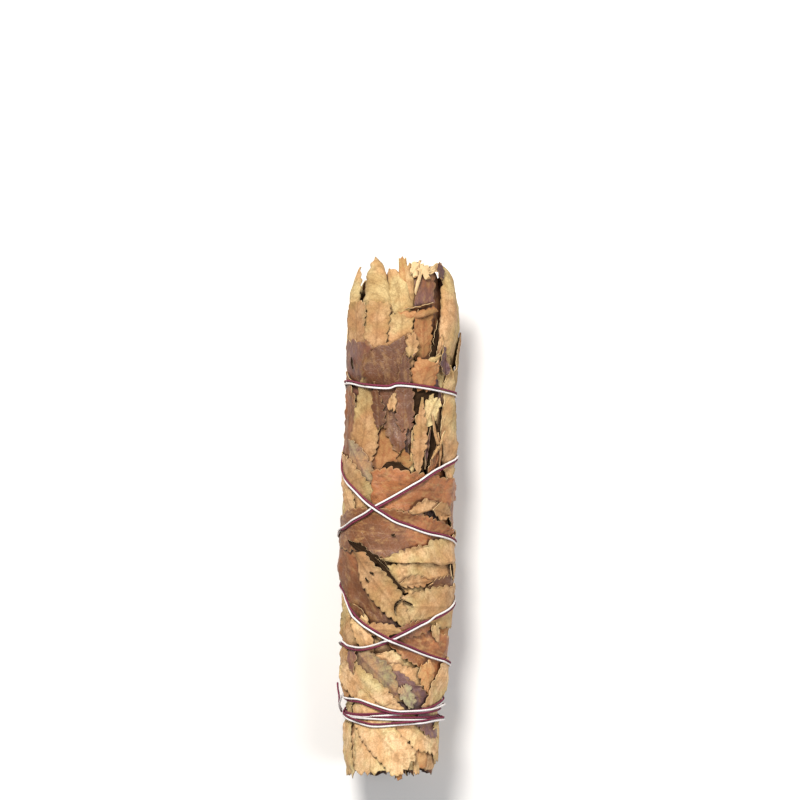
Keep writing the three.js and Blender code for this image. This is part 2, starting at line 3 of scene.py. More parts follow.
import json
import math
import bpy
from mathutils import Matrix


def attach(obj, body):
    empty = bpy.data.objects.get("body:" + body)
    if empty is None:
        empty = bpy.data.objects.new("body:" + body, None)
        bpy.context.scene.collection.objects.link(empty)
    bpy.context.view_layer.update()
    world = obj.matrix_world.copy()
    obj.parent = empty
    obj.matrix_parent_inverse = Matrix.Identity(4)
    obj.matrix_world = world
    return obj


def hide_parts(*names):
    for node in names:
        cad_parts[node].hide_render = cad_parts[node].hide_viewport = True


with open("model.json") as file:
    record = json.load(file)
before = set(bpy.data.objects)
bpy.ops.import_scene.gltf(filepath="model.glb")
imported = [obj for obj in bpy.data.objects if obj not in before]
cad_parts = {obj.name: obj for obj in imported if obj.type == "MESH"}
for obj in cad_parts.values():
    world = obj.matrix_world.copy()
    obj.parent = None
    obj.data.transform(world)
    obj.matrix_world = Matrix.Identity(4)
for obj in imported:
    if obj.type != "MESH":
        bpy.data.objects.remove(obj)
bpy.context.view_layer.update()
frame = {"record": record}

from types import SimpleNamespace

import bpy
import numpy as np
from bpy.props import FloatProperty, FloatVectorProperty, PointerProperty

bl_info = {
    "name": "Yerba Santa Smudge Stick",
    "version": (1, 0, 0),
    "blender": (4, 5, 0),
    "location": "View3D > Sidebar > Smudge Stick",
    "description": "Dried toothed leaves, folded leaf tips, broken ends and a pair of binding threads",
    "category": "Object",
}

# Millimetres, as the model is measured. A turn is an angle round the stick from straight up toward +X,
# and a station is a place along it.
MM = 0.001
STICK_LENGTH = 222
AXIS_HEIGHT = 26
AXIS = (-0.2, 0.2, AXIS_HEIGHT)
SURFACE_RADIUS = 24.5
BODY = "root"

# Inner bundle: radius at stations from the broken ends to the fingers
BUNDLE_RADII = (
    (-107, 16.5), (-103, 18), (-90, 18.8), (-80, 19.2), (-68, 20.4), (-50, 21.4), (-30, 22.2),
    (0, 22.5), (30, 22.5), (50, 22.4), (62, 22.2), (72, 21.6), (77, 19.5),
)
WAIST_RADIUS = 22.5
FRONT_HOLLOW = 3.2
SIDE_SWELL = -0.5
UNDERSIDE = 19.9
INNER_DEPTH = 3.2
INNER_ENDS = (-109, 99)
INNER_LEAVES = 54
INNER_RING = 9
INNER_START = -86
RING_STEP = 68
LAYER_STEP = 34
INNER_FACES = ("tan", "brown", "tan", "golden", "purple", "tan")
CORE_ENDS = (-107, 77)
CORE_GRID = (160, 120)
TIP_RADIUS = 19.0

# Leaf sheets
ROW_STEP = 0.6
COLUMNS = 27
COARSE_UNDERSIDE = 1.2
COARSE_SHADE = 1.6
COARSE_INSIDE = 2.3
LAYER = 0.34
LEAF_POINT = 0.72
ROLL_POINT = 0.36
ROLL_FLATNESS = 0.62
WIDEST_PLACE = 0.85
VEIN_PITCH = 5.2
VEIN_SLOPE = 0.85
LEAST_HALF_WIDTH = 0.45
RESTING_GAP = 0.35
RESTING_FLAT = (6, 11)
UNDERNEATH = 60
STAMP_FINENESS = 3
CURVE_STEPS = 24
SETTLE_PASSES = 160
# Reaches in millimetres of the blurs that give the painted shade in the gaps
PAINTED_SHADE_REACHES = (0.7, 2.4)
# Heights and sizes of the forms of a leaf
RIB_HEIGHT, RIB_WIDTH = 0.3, 0.55
VEIN_HEIGHT, VEIN_WIDTH = 0.13, 0.5
SMOOTH_SIDE = -0.55
MARGIN_WANDER, MARGIN_WAVE = 0.9, 21
RIB_WANDER, RIB_WAVE = 0.5, 33
SWELL_SIZE = 15
FOLD_HEIGHT, FOLD_SIZE = 0.28, 11
CRINKLE_HEIGHT, CRINKLE_SIZE = 0.07, 3.1
FLUTTER_HEIGHT, FLUTTER_SIZE = 0.45, 7
CREASE_DEPTH, CREASE_WIDTH = 0.7, 0.9
DENT_SHARE, DENT_SIZE = 0.1, 9
PINCH_SHARE, PINCH_SIZE = 0.05, 6
ROLL_SPIRAL = 0.09
# Distances from a thread at which a leaf begins to be free to lift and at which it is
SLACK_REACH = (0.4, 5.0)
# First seed of each group of pieces
SEEDS = {
    "outer": 100, "resting": 200, "finger": 300, "end": 340, "curl": 390, "scrap": 400, "last_scrap": 480,
    "inner": 500, "thread": 71, "tail": 72,
}
FACE_KINDS = ("tan", "golden", "brown", "purple", "olive", "rim", "shade")
INSIDE_OF = {
    "tan": "brown", "golden": "brown", "olive": "brown", "brown": "tan", "purple": "tan", "rim": "tan",
    "shade": "shade",
}


def leaf(name, turn, station, length, width, lean, face, **extra):
    """One leaf of the stick, with its small habits: cuts, bow, lifted margins, fold and blush."""
    habits = dict(
        cut=(0, 0), bow=0, lift=(0, 0), fold=0, blush=0.5, tint=0.4, wave=0.3, jag=2.2, slant=0, least=0,
    )
    habits.update(extra)
    return SimpleNamespace(
        name=name, turn=turn, station=station, length=length, width=width, lean=lean, face=face, **habits
    )


OUTER_LEAVES = (
    leaf("under_leaf_1", 180, 46, 60, 20, 6, "tan"),
    leaf("under_leaf_2", 180, 4, 56, 21, 174, "brown"),
    leaf("under_leaf_3", 181, -48, 60, 21, 5, "tan"),
    leaf("under_leaf_4", 178, -92, 34, 19, 2, "tan", cut=(0.3, 0)),
    leaf("back_leaf_1", 135, 48, 60, 21, -8, "golden"),
    leaf("back_leaf_2", 224, 44, 62, 21, 10, "tan"),
    leaf("back_leaf_3", 134, -6, 60, 22, 12, "tan"),
    leaf("back_leaf_4", 226, -8, 62, 22, -9, "brown"),
    leaf("back_leaf_5", 136, -57, 58, 21, 176, "brown"),
    leaf("back_leaf_6", 225, -60, 58, 21, 8, "tan"),
    leaf("back_leaf_7", 130, -92, 34, 19, 3, "tan", cut=(0.3, 0)),
    leaf("back_leaf_8", 232, -92, 35, 19, -3, "olive", cut=(0.3, 0)),
    leaf("side_leaf_1", 92, 52, 54, 19, 4, "tan"),
    leaf("side_leaf_2", 272, 52, 56, 19, -5, "purple"),
    leaf("side_leaf_3", 96, 5, 56, 21, 172, "brown"),
    leaf("side_leaf_4", 268, -2, 58, 20, 6, "tan"),
    leaf("side_leaf_5", 96, -44, 56, 20, 8, "golden"),
    leaf("side_leaf_6", 276, -48, 58, 20, 186, "tan"),
    leaf("side_leaf_7", 86, -83, 42, 18, -2, "tan", cut=(0.25, 0), tint=0.9),
    leaf("side_leaf_8", 284, -90, 42, 18, 2, "tan", cut=(0.3, 0), tint=1.0),
    leaf("front_leaf_2", 22, 91, 32, 12.5, 2, "purple", cut=(0.1, 0.3), blush=(-0.1, 1), least=20.8,
         fold=-1, lift=(0.8, 0)),
    leaf("front_leaf_26", 23, 75, 26, 10.5, -2, "golden", cut=(0.25, 0.3), tint=0.1, least=20.8,
         lift=(1, 0.6)),
    leaf("front_leaf_20", -1, 71, 32, 11, -2, "tan", cut=(0.2, 0.3), tint=0.2, lift=(1, 0)),
    leaf("front_leaf_21", -50, 58, 34, 18, 176, "purple", cut=(0.34, 0), blush=0.6),
    leaf("front_leaf_3", 66, 40, 50, 14, -3, "tan", fold=-1),
    leaf("front_leaf_4", -66, 36, 50, 13, -3, "brown", blush=0.45),
    leaf("front_leaf_29", -17, 31, 42, 14, 4, "golden", tint=0.25),
    leaf("front_leaf_5", -41, 38, 50, 15, 5, "tan"),
    leaf("front_leaf_1", -9, 50, 47, 19.5, 171, "brown", cut=(0.36, 0), blush=(0.05, 0.45), slant=3.2,
         tint=0.15),
    leaf("front_leaf_6", 21, 34, 34, 6, 3, "tan", tint=0.3),
    leaf("front_leaf_22", -56, 13, 46, 17, 124, "tan"),
    leaf("front_leaf_28", -66, -55, 44, 15, 3, "tan", tint=0.1),
    leaf("front_leaf_7", -38, -29, 60, 23, 134, "brown", blush=(0.8, -0.3)),
    leaf("front_leaf_11", 40, 11, 60, 18, 90, "brown", cut=(0.36, 0), blush=0.75),
    leaf("front_leaf_10", -4, -7, 84, 21, 92, "brown", blush=(-0.3, 1.0)),
    leaf("front_leaf_27", 68, -45, 36, 14, 181, "golden"),
    leaf("front_leaf_9", 43, -26.5, 54, 20, 277, "tan", cut=(0.3, 0), tint=0.5),
    leaf("front_leaf_8", 50, -37.5, 46, 18, 267, "tan", cut=(0.3, 0.15), tint=0.15),
    leaf("front_leaf_12", 43, -15, 54, 13, 264, "tan", fold=-1, cut=(0.36, 0), tint=0.45),
    leaf("front_leaf_13", -14.5, -31.2, 43, 13.2, 138, "tan", tint=0.1),
    leaf("front_leaf_23", 14, -66.5, 40, 16, 112, "tan", tint=1.0),
    leaf("front_leaf_15", 38, -55.5, 52, 18, 283, "brown", cut=(0.3, 0), blush=0.5, tint=1.0),
    leaf("front_leaf_24", 33, -80, 42, 13, 136, "purple", blush=0.3, tint=0.75),
    leaf("front_leaf_14", -16, -67, 35, 13, 128, "olive", tint=0.6),
    leaf("front_leaf_16", 66, -73, 36, 16, 222, "tan", tint=1.0),
    leaf("front_leaf_17", -30, -75, 46, 17, 119, "tan", tint=0.75),
    leaf("front_leaf_18", 30, -90, 40, 13, 118, "tan", tint=0.9),
    leaf("front_leaf_25", -27, -97.5, 24, 23, 178, "tan", cut=(0.2, 0.4), tint=1.4),
    leaf("front_leaf_19", -15, -91.5, 43, 17, 134, "tan", cut=(0.2, 0.3), tint=1.2),
)
RESTING_LEAVES = (
    leaf("resting_leaf_1", 180, 7, 40, 18, 2, "tan"),
    leaf("resting_leaf_2", 180, -52, 42, 18, 181, "brown"),
)

# Small torn and folded leaves in the gaps, near-black sheets of painted shade in the deepest gaps, and dark
# chips of painted shade for holes, laid just before the leaf that is named
SCRAPS = {
    "front_leaf_21": (
        leaf("left_tan", -55, 75.5, 31, 14, 1, "tan", cut=(0.2, 0.4), tint=0.05, jag=1.2),
        leaf("middle_tan", -25, 75.5, 31, 11, 1, "tan", cut=(0.2, 0.45), tint=0, jag=1.2, lift=(0.6, 0)),
        leaf("gap_1", 38, 71.5, 25, 4.6, 8, "shade", least=21),
        leaf("crumb_5", 42, 70, 16, 3.4, 14, "tan", lift=(1.2, 1), cut=(0.2, 0.1), least=21),
        leaf("crumb_6", 35, 66.5, 14, 2.8, 34, "tan", lift=(0.6, 1.2), fold=1, least=21.4, tint=0.6),
        leaf("crumb_7", 50, 67, 14, 5, -12, "purple", lift=(0.5, 1), cut=(0.2, 0.1), least=21.4, blush=0.1),
        leaf("crumb_8", 27, 65.5, 13, 2.8, 58, "tan", lift=(0.6, 0.6), least=22, tint=0.4),
    ),
    "front_leaf_29": (
        leaf("strip_1", 10, 33, 32, 5, 1, "purple", lift=(1.2, 0), least=21.2),
        leaf("gap_2", 26, 50, 20, 13, 70, "shade", least=20.6),
        leaf("gap_3", 34, 33, 22, 9, 6, "shade", least=20.6),
        leaf("gap_4", 20, 26, 24, 8, -4, "shade", least=20.6),
        leaf("strip_2", 22, 35, 20, 3, 5, "tan", lift=(0, 1), fold=1, least=21, tint=0.1),
        leaf("strip_3", 14.5, 27, 20, 2.6, -3, "tan", lift=(0.6, 0.6), fold=1, least=21.4, tint=0.6),
        leaf("yellow", 34, 44.5, 16, 9, 28, "tan", cut=(0, 0.3), least=21.5, tint=0.7),
        leaf("mid_olive", -1, 23, 20, 11, -4, "golden", tint=-0.2),
        leaf("splinter_1", 40, 24, 18, 4.4, 14, "brown", least=21.5, blush=1),
        leaf("splinter_2", 47, 28, 17, 2.4, -12, "golden", least=21.5),
        leaf("splinter_3", 43, 31, 14, 2, 30, "tan", least=21.8),
        leaf("strip_4", 31, 29.5, 18, 1.8, 7, "purple", least=21.2, lift=(0.5, 0.3)),
        leaf("strip_5", 37.5, 37.5, 13, 1.6, -14, "tan", least=21.2, lift=(0.5, 0.5), tint=0.2),
        leaf("orange_bit", 24, 60.5, 15, 12, 12, "golden", cut=(0.3, 0.3), tint=0.2),
    ),
    "front_leaf_22": (
        leaf("net_patch", -43, 21, 28, 10, 143, "olive", tint=0.5),
    ),
    "front_leaf_11": (
        leaf("gap_5", -3, 18.5, 15, 9, 96, "shade"),
    ),
    "front_leaf_10": (
        leaf("left_bit", -60, 5, 15, 9, 150, "tan", tint=0.6),
    ),
    "front_leaf_13": (
        leaf("left_fill", -46, -43, 13, 9, 150, "brown", tint=0.2, blush=0.2),
        leaf("gap_6", -32, -16, 24, 4.2, 119, "shade"),
        leaf("gap_7", -6.5, -24.4, 20, 2.4, 136, "shade"),
    ),
    "front_leaf_6": (
        leaf("golden_side", 4, 53, 34, 7.5, -2, "brown", tint=-0.3, blush=0.3, cut=(0.2, 0)),
        leaf("dark_side", -24.5, 47, 20, 5, -4, "brown", tint=-0.6, blush=-1, cut=(0.2, 0)),
    ),
    "front_leaf_8": (
        leaf("stain", 24, -27.4, 17, 5, 84, "tan", tint=-0.3),
        leaf("right_shade", 60, -27.6, 19, 6, 84, "brown", tint=0, blush=0.1),
        leaf("gap_8", 72, -20, 12, 3.2, -4, "shade"),
    ),
    "front_leaf_24": (
        leaf("low_yellow", 17, -68.3, 24, 10, 106, "tan", tint=0.7, cut=(0.2, 0.3)),
        leaf("low_golden", 42, -67.5, 15, 9, 165, "golden", tint=0.7, cut=(0.2, 0)),
    ),
    "front_leaf_25": (
        leaf("gap_9", 22, -101.5, 15, 3, 1, "shade"),
    ),
    "front_leaf_23": (
        leaf("pale_patch", -38, -51, 19, 10, 165, "tan", cut=(0.2, 0.2), tint=0.8),
    ),
    "": (
        leaf("upper_bit", 8, 73, 11, 4.6, 2, "tan", cut=(0.2, 0.3), lift=(0.5, 0.5), tint=-0.1),
        leaf("crumb_1", 14, 105, 9, 4.5, 38, "rim", lift=(1.5, 1), cut=(0.2, 0.2), least=21),
        leaf("crumb_2", 22, 104, 8, 5, 120, "rim", lift=(1.5, 1.5), cut=(0.2, 0.2), least=21.6),
        leaf("crumb_3", 34, 105, 7, 3.6, 70, "rim", lift=(1.5, 1.5), cut=(0.3, 0.2), least=21),
        leaf("crumb_4", 15, 99.5, 11, 2.6, 8, "rim", lift=(0.5, 1.5), fold=1, least=21.6),
        leaf("crumb_9", 41, 104.3, 8, 4.6, 150, "purple", cut=(0.2, 0.2), least=21, tint=0, lift=(0.5, 0.5)),
        leaf("small_tan_1", 32, 4.4, 17, 6, 78, "tan", fold=1, lift=(0, 0.8), tint=0.5),
        leaf("small_tan_2", 55, 2.5, 14, 6, 100, "tan", lift=(0.6, 0.9)),
        leaf("low_mauve", 22, -47, 23, 6, 82, "purple", tint=0.7, blush=1.0),
        leaf("small_tan_3", -13, -47.6, 20, 6, 93, "tan", tint=0.1),
        leaf("left_mauve", -53, -60.5, 12, 6, 165, "purple", tint=0.7, blush=0.5, cut=(0.2, 0)),
        leaf("purple_end", 48, -87.4, 19, 9.5, 124, "purple", tint=0.6, blush=0.4, cut=(0.3, 0)),
        leaf("end_tan", 58, -87.4, 7, 3, 60, "tan", tint=0.6, cut=(0.2, 0.2)),
        leaf("grey_bit", 18, -75.5, 12, 7, 148, "olive", cut=(0.2, 0.2), tint=1.3),
        leaf("small_tan_4", 52, -48, 9, 5.5, 160, "tan", cut=(0.3, 0)),
        leaf("upper_chip", -8, 48.5, 8, 3.6, 12, "tan", cut=(0.3, 0.2), tint=0.6, lift=(0.8, 0.8)),
        leaf("hole_1", -4.5, -7.5, 1.9, 1.2, 80, "shade"),
        leaf("hole_2", -26, -23.8, 2.2, 1.2, 110, "shade"),
        leaf("hole_3", -32, -26.4, 2.4, 1.3, 130, "shade"),
        leaf("hole_4", 4.5, -37.5, 7, 1.7, 205, "shade", bow=1.4),
        leaf("hole_5", 14, -36, 5, 0.8, 112, "shade"),
        leaf("hole_6", -56, 64.5, 5, 1.6, 170, "shade"),
    ),
}


def scroll(route, width, face, slit=180, open_turn=150, cut=(0.3, 0), blush=0.5, tint=0.5):
    """One rolled leaf: its route as turns, stations and distances from the axis, and its roll."""
    return SimpleNamespace(
        route=route, width=width, face=face, slit=slit, open_turn=open_turn, cut=cut, blush=blush, tint=tint
    )


def broken_end(turns, tip, depths, width, face, foot=(-82, -96), cut=0.3, **extra):
    """One broken leaf end: its turns and distances from the axis at foot, middle and tip."""
    return scroll(tuple(zip(turns, foot + (tip,), depths)), width, face, cut=(cut, cut), **extra)


def cut_stem(*measures, **extra):
    return broken_end(*measures, foot=(-88, -98), cut=0.4, **extra)


# Folded and rolled leaves that stand out of the upper end
FINGERS = (
    scroll(((14, 64, 9), (14, 90, 11), (10, 100, 11)), 13, "golden"),
    scroll(((134, 64, 9), (134, 90, 9), (130, 100, 9)), 13, "tan"),
    scroll(((254, 64, 9), (254, 90, 9), (250, 101, 9)), 13, "tan"),
    scroll(((172, 64, 17), (172, 86, 18), (170, 99, 17)), 13, "tan"),
    scroll(((132, 64, 18.5), (133, 86, 19.5), (130, 102, 18)), 13, "brown"),
    scroll(((210, 64, 17.5), (210, 86, 18.5), (213, 103, 17)), 13, "golden"),
    scroll(((244, 64, 18.5), (244, 86, 19.5), (248, 100, 18.5)), 13, "tan"),
    scroll(((94, 64, 20), (95, 84, 21.5), (88, 98, 20.5)), 12, "tan"),
    scroll(((268, 64, 19.5), (268, 84, 20.5), (272, 98, 19.6)), 11, "olive"),
    scroll(((48, 64, 17), (48, 88, 18), (45, 105, 18)), 9, "brown", blush=0.2),
    scroll(((1, 84, 19), (0, 98, 20.5), (-6, 110, 20.3)), 3.4, "golden", cut=(0.3, 0.3)),
    scroll(((8, 84, 19), (7, 96, 21), (3, 107.5, 20.8)), 3.8, "tan", cut=(0.3, 0.3), tint=0.3),
    scroll(((-70, 60, 20.5), (-71, 88, 22.3), (-64, 105.3, 21)), 10.5, "tan", slit=150, tint=0.35),
    scroll(((2, 62, 20), (0, 86, 21.4), (-6, 97, 21.4), (-19, 105, 20)), 12.5, "tan", slit=165, tint=0.25),
    scroll(((-26, 60, 21), (-27, 86, 22.3), (-34, 99, 22.2), (-46, 109, 20.8)), 13, "tan", slit=-78,
           open_turn=215, tint=0.2),
    scroll(((58, 69, 20.5), (60, 84, 22.3), (55, 98, 22), (42, 106.5, 20)), 13, "tan", slit=-118,
           open_turn=165, tint=0.3),
)
# Broken leaf ends and cut stems of the lower end
BROKEN_ENDS = (
    broken_end((22, 23, 21), -107, (16.5, 17, 16.8), 8.5, "tan", slit=170, tint=0.9),
    broken_end((44, 45, 48), -106, (17.5, 18, 17.5), 8.5, "golden", slit=160, tint=0.9),
    broken_end((5, 5, 3), -108, (16, 16.4, 16), 7, "purple", slit=175, blush=0.6),
    cut_stem((34, 33, 36), -109, (18.5, 18.8, 18), 2.8, "tan", tint=0.8),
    cut_stem((13, 13, 10), -111, (17.8, 18.2, 17.6), 3, "golden", tint=0.8),
    broken_end((68, 70, 72), -107, (17, 17.5, 17), 9, "tan", slit=150, tint=0.8),
    broken_end((102, 100, 104), -109, (16.5, 17, 16.5), 9, "brown", slit=200),
    broken_end((140, 142, 140), -107, (16, 16.5, 16), 9, "tan", slit=170),
    broken_end((180, 182, 180), -108, (15, 15.5, 15), 9, "golden"),
    broken_end((220, 218, 222), -106, (16, 16.5, 16), 9, "tan", slit=190),
    broken_end((258, 260, 256), -108, (16.5, 17, 16.5), 9, "brown", slit=170),
    broken_end((296, 297, 300), -107, (16.5, 17, 16.5), 9, "tan", tint=0.8),
    broken_end((332, 331, 334), -108, (16, 16.5, 16), 9, "tan", slit=200, tint=0.8),
    broken_end((60, 60, 62), -109, (8, 8, 8), 11, "golden", foot=(-84, -96), slit=170),
    broken_end((180, 180, 178), -108, (8, 8, 8), 11, "tan", foot=(-84, -96), slit=90),
    broken_end((300, 300, 304), -110, (8, 8, 8), 11, "brown", foot=(-84, -96), slit=190),
    cut_stem((120, 120, 124), -110.5, (12, 12, 12), 3.4, "golden"),
    cut_stem((240, 240, 236), -109, (12, 12, 12), 3, "tan"),
)
# Rolled leaves that lie across the others
CURLS = (
    scroll(((-11, 85.8, 23.6), (14, 86.4, 24.6), (38, 89.8, 23.2)), 4.6, "golden", slit=-60, cut=(0.1, 0.2),
           open_turn=160, tint=0.2),
)

# Threads
THREAD_DIAMETER = 0.86
THREAD_RADIUS = THREAD_DIAMETER / 2
THREAD_SPACING = 1.06
THREAD_SIDES = 10
PLIES = 3
PLY_PITCH = 3.4
THREAD_PULLS = (16, 8, 4, 2, 1) * 12
FREE_AT_JOIN = 24
ROUTE_UP = (
    (-1170, -84.6), (-1080, -84.8), (-990, -84.2), (-900, -84.2), (-810, -83.9), (-765, -84.2),
    (-720, -82.8), (-675, -80.6), (-630, -76.6), (-540, -65.5), (-450, -54.6), (-419, -55.6),
    (-400, -56), (-381, -54.4), (-365, -51.9), (-349, -48.5),
    (-328, -44.6), (-302, -40.6), (-270, -35), (-180, -21.5), (-90, -8), (-65, -5), (-38, 0.4), (-25, 3.8),
    (-1, 9.4), (17, 14), (38, 19.1), (54, 21.8), (88, 26.4), (180, 40.5), (240, 51), (270, 55), (295, 56.5),
    (320, 55.4), (346, 54.8), (360, 56.1), (404, 54.4), (448, 52.3), (500, 52), (540, 53.8), (570, 57),
)
ROUTE_DOWN = (
    (588, 58.2), (600, 55.5), (605, 50), (606, 43.5), (609, 36), (618, 29.5), (630, 23.5), (643, 17.5),
    (664, 12.3), (682, 7.2), (696, 3.8), (709, 0.4), (719, -1.7), (737, -3.8), (757, -6), (800, -9.4),
    (900, -21), (970, -28.5), (1000, -32.5), (1014, -36), (1028, -40.8), (1046, -45.9), (1072, -51),
    (1080, -52.3), (1102, -55.3), (1127, -58.2), (1165, -61.6), (1260, -69), (1330, -75.6), (1375, -77.8),
    (1397, -78), (1418, -79.9), (1442, -82), (1460, -82), (1498, -80.8), (1540, -79.2), (1620, -79.8),
    (1700, -83.4), (1750, -86.4), (1778, -88), (1807, -87), (1832, -86), (1865, -84.8), (1950, -85.4),
    (2000, -87.4),
)

# Where the two threads change places, as turn and share of a half twist
THREAD_SWAPS = (
    (-458, 0), (-440, 1), (-374, 1), (-356, 0), (-328, 0), (-310, 1), (-250, 1), (-228, 0), (-84, 0),
    (-66, 1), (92, 1), (118, 0), (1322, 0), (1345, 1), (1556, 1), (1582, 0),
)
# Cut ends of the threads beside the lower wraps, as turn, station and distance from the axis
THREAD_TAILS = {
    "burgundy_thread": (
        (-100, -84, 21.6), (-90, -81, 22.3), (-86, -77, 22.6), (-88, -73.5, 23.2), (-91, -71, 23.4),
    ),
    "white_thread": ((-96, -83, 21.4), (-84, -80.5, 22.4), (-75, -78, 22.6), (-69, -75.6, 22.9)),
}

# Camera, floor and lights: the frame's side in pixels, the real size of a pixel, the lean of the stick in
# the frame, where its middle falls in it, and the camera's height over the axis
FRAME_PIXELS = 800
PIXEL = 0.425
STICK_LEAN = math.radians(1.69)
STICK_PIXEL = (398, 517)
CAMERA_HEIGHT = 2600
SENSOR_WIDTH = 36
FLOOR_HALF = 3.0
SKY = ((0.95, 0.97, 1.0, 1.0), 0.26)
LIGHTS = (
    ("key", (-0.2, 0.44, 0.72), 0.3, 10.4, (1.0, 0.98, 0.95)),
    ("fill", (0.5, -0.15, 0.7), 0.5, 3.6, (0.97, 0.98, 1.0)),
)


def unit(vectors):
    """The same directions, each one unit long."""
    return vectors / np.maximum(np.linalg.norm(vectors, axis=-1, keepdims=True), 1e-9)


def smoothstep(low, high, value):
    share = np.clip((value - low) / (high - low), 0, 1)
    return share * share * (3 - 2 * share)


def ripple(a, b, size, seed):
    """Smooth seeded waves from about minus one to one over two coordinates in millimetres."""
    rng = np.random.default_rng(seed)
    total = 0
    for weight in (0.5, 0.3, 0.2):
        heading, phase, stretch = rng.uniform(0, 6.28), rng.uniform(0, 6.28), rng.uniform(0.8, 1.3)
        along = (a * np.cos(heading) + b * np.sin(heading)) * stretch * 0.5 / weight
        total = total + weight * np.sin(6.28 * along / size + phase)
    return total


def wave_along(length, size, seed):
    return ripple(length, 0 * length, size, seed)


def place(turn, station, radius):
    """Points at turns, stations and radii, in millimetres from the stick's axis."""
    return np.stack([radius * np.sin(turn), station + 0 * radius, radius * np.cos(turn)], axis=-1)


def finer(grid, times):
    """A grid of points with its rows and columns divided a number of times."""
    for axis in (0, 1):
        grid = np.swapaxes(grid, 0, axis)
        steps = [grid[:-1] + (grid[1:] - grid[:-1]) * share for share in np.arange(times) / times]
        inside = np.stack(steps, axis=1).reshape((-1,) + grid.shape[1:])
        grid = np.swapaxes(np.concatenate([inside, grid[-1:]]), 0, axis)
    return grid


class Surface:
    """Outermost radius of the stick so far, over turn and station."""

    TURNS = 900
    STEP = 0.35
    MARGIN = 8
    START = -STICK_LENGTH / 2 - MARGIN
    PRESSED = 6
    TURN_STEP = 2 * math.pi * SURFACE_RADIUS / TURNS

    def __init__(self):
        self.rows = int((STICK_LENGTH + 2 * self.MARGIN) / self.STEP)
        self.clear()

    def clear(self):
        self.radius = np.zeros((self.rows, self.TURNS))

    def cells(self, turn, station):
        column = np.mod(turn / (2 * math.pi), 1) * self.TURNS
        row = np.clip((station - self.START) / self.STEP, 0, self.rows - 1.01)
        return row, column

    def nearest(self, points):
        """Nearest cell to each point, and the points' distances from the axis."""
        row, column = self.cells(np.arctan2(points[..., 0], points[..., 2]), points[..., 1])
        near = (np.rint(row).astype(int), np.rint(column).astype(int) % self.TURNS)
        return near, np.hypot(points[..., 0], points[..., 2])

    def stamp(self, points):
        np.maximum.at(self.radius, *self.nearest(points))

    def press(self, turn, station):
        """Marks where a thread will press the leaves down."""
        self.distance = np.full((self.rows, self.TURNS), 9.0)
        row, column = self.cells(turn, station)
        reach_rows, reach_columns = int(self.PRESSED / self.STEP), int(self.PRESSED / self.TURN_STEP)
        for down in range(-reach_rows, reach_rows + 1, 2):
            for aside in range(-reach_columns, reach_columns + 1, 2):
                away = math.hypot(down * self.STEP, aside * self.TURN_STEP)
                for extra in (0, 1):
                    cells = (np.clip(row.astype(int) + down + extra, 0, self.rows - 1),
                             (column.astype(int) + aside + extra) % self.TURNS)
                    np.minimum.at(self.distance, cells, away)

    def slack(self, turn, station):
        """How free a leaf is to lift: nought under a thread and one away from it."""
        row, column = self.cells(turn, station)
        away = self.distance[row.astype(int), column.astype(int) % self.TURNS]
        return smoothstep(*SLACK_REACH, away)

    def blurred(self, reach):
        """The radius averaged over a reach in millimetres, each way."""
        field = np.where(self.radius > 0, self.radius, np.nan)
        known = np.nan_to_num(field, nan=TIP_RADIUS)
        for axis, step in ((0, self.STEP), (1, self.TURN_STEP)):
            width = int(3 * reach / step)
            offsets = np.arange(-width, width + 1)
            weights = np.exp(-0.5 * (offsets * step / reach) ** 2)
            known = sum(weight * np.roll(known, offset, axis)
                        for weight, offset in zip(weights / weights.sum(), offsets))
        return known

    def floor(self, turn, station):
        high = self.radius
        high = np.maximum(high, np.maximum(np.roll(high, 1, 0), np.roll(high, -1, 0)))
        high = np.maximum(high, np.maximum(np.roll(high, 1, 1), np.roll(high, -1, 1)))
        row, column = self.cells(turn, station)
        low, left = row.astype(int), column.astype(int) % self.TURNS
        right = (left + 1) % self.TURNS
        up, over = row - low, column - np.floor(column)
        below = high[low, left] * (1 - over) + high[low, right] * over
        above = high[low + 1, left] * (1 - over) + high[low + 1, right] * over
        return below * (1 - up) + above * up


surface = Surface()


def bundle_radius(turn, station):
    """Radius of the tight middle of the bundle."""
    stations, radii = zip(*BUNDLE_RADII)
    along = np.interp(station, stations, radii)
    lumps = 0.25 * np.sin(3 * turn + 1.1) + 0.25 * np.sin(5 * turn - station / 19)
    front = FRONT_HOLLOW * np.maximum(0, np.cos(turn)) ** 2
    side = SIDE_SWELL * np.sin(turn) ** 4
    facing = np.where(np.cos(turn) < -0.05, -np.cos(turn), 0.05)
    under = np.where(np.cos(turn) < 0, UNDERSIDE * along / WAIST_RADIUS / facing, 99)
    return np.minimum(along + lumps - front + side, under)


class Patch:
    """Points, square faces and marks of one or more sheets, ready to become a mesh."""

    def __init__(self):
        self.points, self.faces, self.kinds, self.places, self.tones = [], [], [], [], []
        self.count = 0

    def add(self, points, faces, kinds, places, tones):
        self.points.append(points)
        self.faces.append(faces + self.count)
        self.kinds.append(kinds)
        self.places.append(places)
        self.tones.append(tones)
        self.count += len(points)

    def join(self, other):
        self.add(*(np.concatenate(part) for part in (other.points, other.faces, other.kinds)),
                 np.concatenate(other.places), np.concatenate(other.tones))


def grid_faces(rows, columns, closed=False):
    """Square faces of a grid of points, wound so that rows by columns face outward."""
    across = columns if closed else columns - 1
    row, column = np.meshgrid(np.arange(rows - 1), np.arange(across), indexing="ij")
    corner, beside = row * columns + column, row * columns + (column + 1) % columns
    return np.stack([corner, beside, beside + columns, corner + columns], axis=-1).reshape(-1, 4)


def sheet_normals(points):
    return unit(np.cross(np.gradient(points, axis=1), np.gradient(points, axis=0)))


